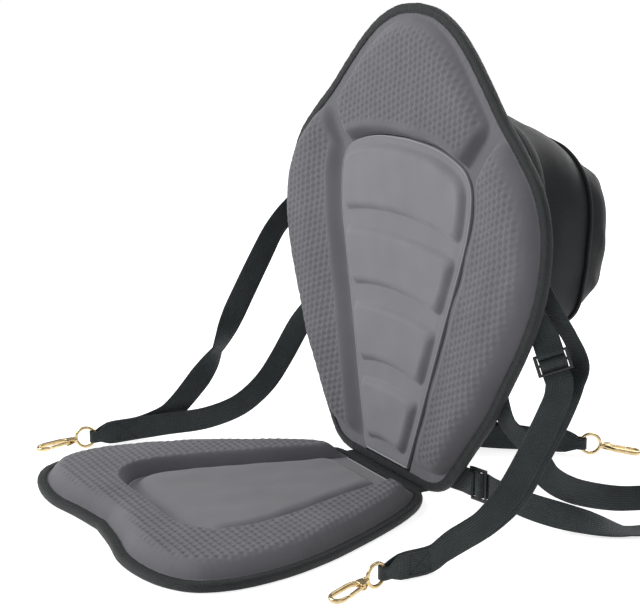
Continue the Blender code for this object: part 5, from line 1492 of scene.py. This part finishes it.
def bag_folds(points):
    """How far the cloth stands out or sinks in: broad sags with sharp creases between them."""
    depth = -points[:, 2]
    warp = np.column_stack([waves(points, *way) for way in ((21, 0.11), (22, 0.10), (23, 0.12))]) * 0.010
    bent = points + warp
    broad = waves(bent, 24, 0.20, 6)
    crease = np.zeros(len(points))
    for seed, scale, size in ((31, 0.125, 1.0), (32, 0.085, 0.6)):
        field = waves(bent * np.array([1.0, 0.75, 1.25]), seed, scale, 5)
        crease += size * (np.exp(-np.abs(field) * 2.4) - 0.35)
    calm = 1.0 - np.exp(-(np.maximum(depth, 0.0) / 0.012) ** 2)
    band = np.abs(depth - ZIP_DEPTH) - ZIP_WIDTH / 2
    upper = points[:, 1] > bag_ring(ZIP_DEPTH, np.array([0.0]))[0, 1] - 0.08
    calm *= np.where(upper, np.clip((band - 0.001) / 0.016, 0.0, 1.0), 1.0)
    cord = np.abs(depth - BAG_CORD_DEPTH)
    calm *= 0.35 + 0.65 * np.clip((cord - 0.002) / 0.014, 0.0, 1.0)
    return calm * (BAG_SAG * broad + BAG_CREASE * crease)


def outward_of(ring):
    """Outward unit vectors of a closed ring in its own plane."""
    around = np.roll(ring, -1, axis=0) - np.roll(ring, 1, axis=0)
    out = np.column_stack([around[:, 1], -around[:, 0], np.zeros(len(ring))])
    return out / np.linalg.norm(out, axis=1)[:, None]


def build_bag():
    """The bag's creased shell, the welt cord round its gusset and the tape at its root."""
    count = BAG_AROUND
    angles = even_angles(count)
    side = BAG_DEPTH - BAG_ROUND
    rounding = side + BAG_ROUND * np.sin(np.linspace(0.05, math.pi / 2, BAG_EDGE_RINGS))
    depths = np.unique([*np.linspace(0.0, side, BAG_SIDE_RINGS), *rounding, BAG_CORD_DEPTH])
    rings = []
    aims = []
    for depth in depths:
        ring = bag_ring(depth, angles)
        reach = np.clip((depth - BAG_DEPTH + BAG_ROUND) / BAG_ROUND, 0.0, 1.0)
        out = outward_of(ring) * math.sqrt(1.0 - 0.96 * reach ** 2)
        out[:, 2] = -reach
        rings.append(ring)
        aims.append(out / np.linalg.norm(out, axis=1)[:, None])
    rim = rings[-1]
    middle = rim.mean(axis=0)
    for share in np.linspace(0.97, 0.02, BAG_REAR_RINGS):
        ring = middle + (rim - middle) * share
        ring[:, 2] = -BAG_DEPTH - 0.0050 * (1.0 - share ** 2.4)
        rings.append(ring)
        aims.append(np.tile([0.0, 0.0, -1.0], (count, 1)))
    base = np.vstack(rings)
    aim = np.vstack(aims)
    lift = bag_folds(base).reshape(-1, count)
    for _ in range(3):
        lift = (lift + np.roll(lift, 1, axis=1) + np.roll(lift, -1, axis=1)) / 3
        lift[1:-1] = (lift[:-2] + lift[1:-1] + lift[2:]) / 3
    shaped = base + aim * lift.ravel()[:, None]
    verts, faces = loft_rings([shaped[k:k + count] for k in range(0, len(shaped), count)])
    obj = face_out(add_mesh("bag_shell", bag_place(verts), faces, "bag"))
    finish_piece(obj, "backrest", "dark_fabric", "rear_bag")

    at = int(np.argmin(np.abs(depths - BAG_CORD_DEPTH)))
    line = shaped[at * count:(at + 1) * count] + aims[at] * (BAG_CORD * 0.85)
    tube("backrest", bag_place, "bag_welt_cord", line, BAG_CORD * 0.92, "bag", "dark_fabric", "bag_piping")
    band = []
    section = [(0.0004, 0.0008), (0.0017, 0.0010), (0.0020, 0.0040), (0.0017, 0.0072), (0.0004, 0.0075)]
    for out, depth in section:
        ring = bag_ring(depth, angles)
        band.append(ring + outward_of(ring) * (out + 0.00015 * np.sin(np.arange(count) * 1.7))[:, None])
    verts, faces = loft_round(band)
    run = run_lengths(closed_line(bag_ring(0.0035, angles)))[:-1]
    uvs = np.vstack([np.column_stack([np.full(count, 0.002 * k), run]) for k in range(5)])
    obj = face_out(add_mesh("bag_root_tape", bag_place(verts), faces, "binding", uvs))
    finish_piece(obj, "backrest", "webbing_black")


def tube(body, place, name, line, radius, look, slot, *nodes):
    """A round cord along a closed line."""
    around = np.roll(line, -1, axis=0) - np.roll(line, 1, axis=0)
    middle = line.mean(axis=0)
    rings = []
    for angle in turns(10):
        ring = []
        for point, tangent in zip(line, around):
            t = unit(tangent)
            out = point - middle
            out = unit(out - t * np.dot(out, t))
            side = np.cross(t, out)
            ring.append(point + (out * math.cos(angle) + side * math.sin(angle)) * radius)
        rings.append(np.array(ring))
    verts, faces = loft_round(rings)
    obj = face_out(add_mesh(name, place(verts), faces, look))
    return finish_piece(obj, body, slot, *nodes)


def build_zip():
    """The zip round the bag's gusset: two tapes and a row of coil teeth between them."""
    low = bag_ring(ZIP_DEPTH, even_angles(400))[:, 1].min() + ZIP_FOOT
    fine = np.linspace(-0.5, math.pi + 0.5, 6000)
    line = bag_ring(ZIP_DEPTH, fine)
    line = line[line[:, 1] >= low]
    fine = fine[bag_ring(ZIP_DEPTH, fine)[:, 1] >= low]
    run = run_lengths(line)
    per = 4
    count = int(run[-1] / ZIP_PITCH) * per
    stops = np.linspace(0.0, run[-1], count + 1)
    angles = np.interp(stops, run, fine)
    teeth = 0.5 + 0.5 * np.cos(2 * math.pi * np.arange(count + 1) / per)
    half = ZIP_WIDTH / 2
    section = [(-half, 0.0, 0), (-half, 0.0007, 0), (-half + 0.004, 0.0009, 0), (-0.0045, 0.0009, 0),
               (-0.0036, 0.0005, 0), (-0.0028, 0.0009, 1), (-0.0012, 0.0013, 1), (0.0, 0.0007, 1),
               (0.0012, 0.0013, 1), (0.0028, 0.0009, 1), (0.0036, 0.0005, 0), (0.0045, 0.0009, 0),
               (half - 0.004, 0.0009, 0), (half, 0.0007, 0), (half, 0.0, 0)]
    rows = []
    for across, lift, tooth in section:
        ring = bag_ring(ZIP_DEPTH + across, angles)
        tangent = np.gradient(ring, axis=0)
        out = np.column_stack([tangent[:, 1], -tangent[:, 0], np.zeros(len(ring))])
        out /= np.linalg.norm(out, axis=1)[:, None]
        rows.append(ring + out * (GAP + lift - 0.0006 * teeth * tooth)[:, None])
    size = len(angles)
    verts = np.vstack(rows)
    faces = []
    for k in range(len(rows)):
        j = (k + 1) % len(rows)
        for i in range(size - 1):
            faces.append((k * size + i, k * size + i + 1, j * size + i + 1, j * size + i))
    faces.append(tuple(k * size for k in range(len(rows))))
    faces.append(tuple(k * size + size - 1 for k in reversed(range(len(rows)))))
    uvs = np.vstack([np.column_stack([np.full(size, row[0]), stops]) for row in section])
    obj = face_out(add_mesh("zip_run", bag_place(verts), faces, "zip_cloth", uvs))
    finish_piece(obj, "backrest", "webbing_black", "zip_tape")


# Kept nodes

def dress_nodes():
    """Looks for the nodes that are shown as they are."""
    looks = {"seat_board": "seat_board", "back_board": "board", "zip_slider": "steel", "zip_pull": "steel"}
    looks.update({f"gate_pin_{a}_{b}": "steel" for a in ("front", "rear") for b in ("left", "right")})
    for name, look in looks.items():
        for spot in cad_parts[name].material_slots:
            spot.material = LOOKS[look]


# Stage, lights and camera

def build_stage():
    made, tree, shader = new_material("floor_white")
    tree.nodes.remove(shader)
    out = tree.nodes["Material Output"]
    path = tree.nodes.new("ShaderNodeLightPath")
    seen = math_node(tree, "MAXIMUM", path.outputs["Is Camera Ray"], path.outputs["Is Glossy Ray"])
    seen = math_node(tree, "MAXIMUM", seen, path.outputs["Is Transmission Ray"])
    diffuse = tree.nodes.new("ShaderNodeBsdfDiffuse")
    diffuse.inputs["Color"].default_value = (0.80, 0.80, 0.80, 1.0)
    glow = tree.nodes.new("ShaderNodeEmission")
    glow.inputs["Color"].default_value = (1.0, 1.0, 1.0, 1.0)
    tree.links.new(math_node(tree, "MULTIPLY", seen, FLOOR_GLOW), glow.inputs["Strength"])
    both = tree.nodes.new("ShaderNodeAddShader")
    tree.links.new(diffuse.outputs[0], both.inputs[0])
    tree.links.new(glow.outputs[0], both.inputs[1])
    tree.links.new(both.outputs[0], out.inputs["Surface"])
    mesh = bpy.data.meshes.new("floor")
    corners = [(-1, -1), (1, -1), (1, 1), (-1, 1)]
    mesh.from_pydata([(x * FLOOR_HALF, y * FLOOR_HALF, FLOOR_Z) for x, y in corners], [], [(0, 1, 2, 3)])
    mesh.materials.append(made)
    linked("floor", mesh)

    world = bpy.data.worlds.new("studio")
    bpy.context.scene.world = world
    world.use_nodes = True
    tree = world.node_tree
    back = tree.nodes["Background"]
    back.inputs["Color"].default_value = (1.0, 1.0, 1.0, 1.0)
    path = tree.nodes.new("ShaderNodeLightPath")
    seen = math_node(tree, "MAXIMUM", path.outputs["Is Camera Ray"], path.outputs["Is Transmission Ray"])
    strength = math_node(tree, "ADD", math_node(tree, "MULTIPLY", seen, 1.0 - AMBIENT), AMBIENT)
    tree.links.new(strength, back.inputs["Strength"])


def add_light(name, place, target, size, watts):
    data = bpy.data.lights.new(name, "AREA")
    data.shape = "DISK"
    data.size = size
    data.energy = watts
    lamp = linked(name, data)
    lamp.location = place
    lamp.rotation_euler = (Vector(target) - Vector(place)).to_track_quat("-Z", "Y").to_euler()


def build_camera():
    data = bpy.data.cameras.new("camera")
    data.sensor_width = 36.0
    data.lens = CAMERA_LENS
    camera = linked("camera", data)
    camera.location = CAMERA_PLACE
    level = math.cos(CAMERA_DOWN)
    look = Vector((-math.sin(CAMERA_HEADING) * level, math.cos(CAMERA_HEADING) * level,
                   -math.sin(CAMERA_DOWN)))
    camera.rotation_euler = look.to_track_quat("-Z", "Y").to_euler()
    bpy.context.scene.camera = camera
    bpy.context.scene.view_settings.view_transform = "Standard"


build_camera()
build_pads()
build_bindings()
build_hinge_cloth()
build_webbing()
build_bag()
build_zip()
dress_nodes()
build_stage()
for light in LIGHTS:
    add_light(*light)
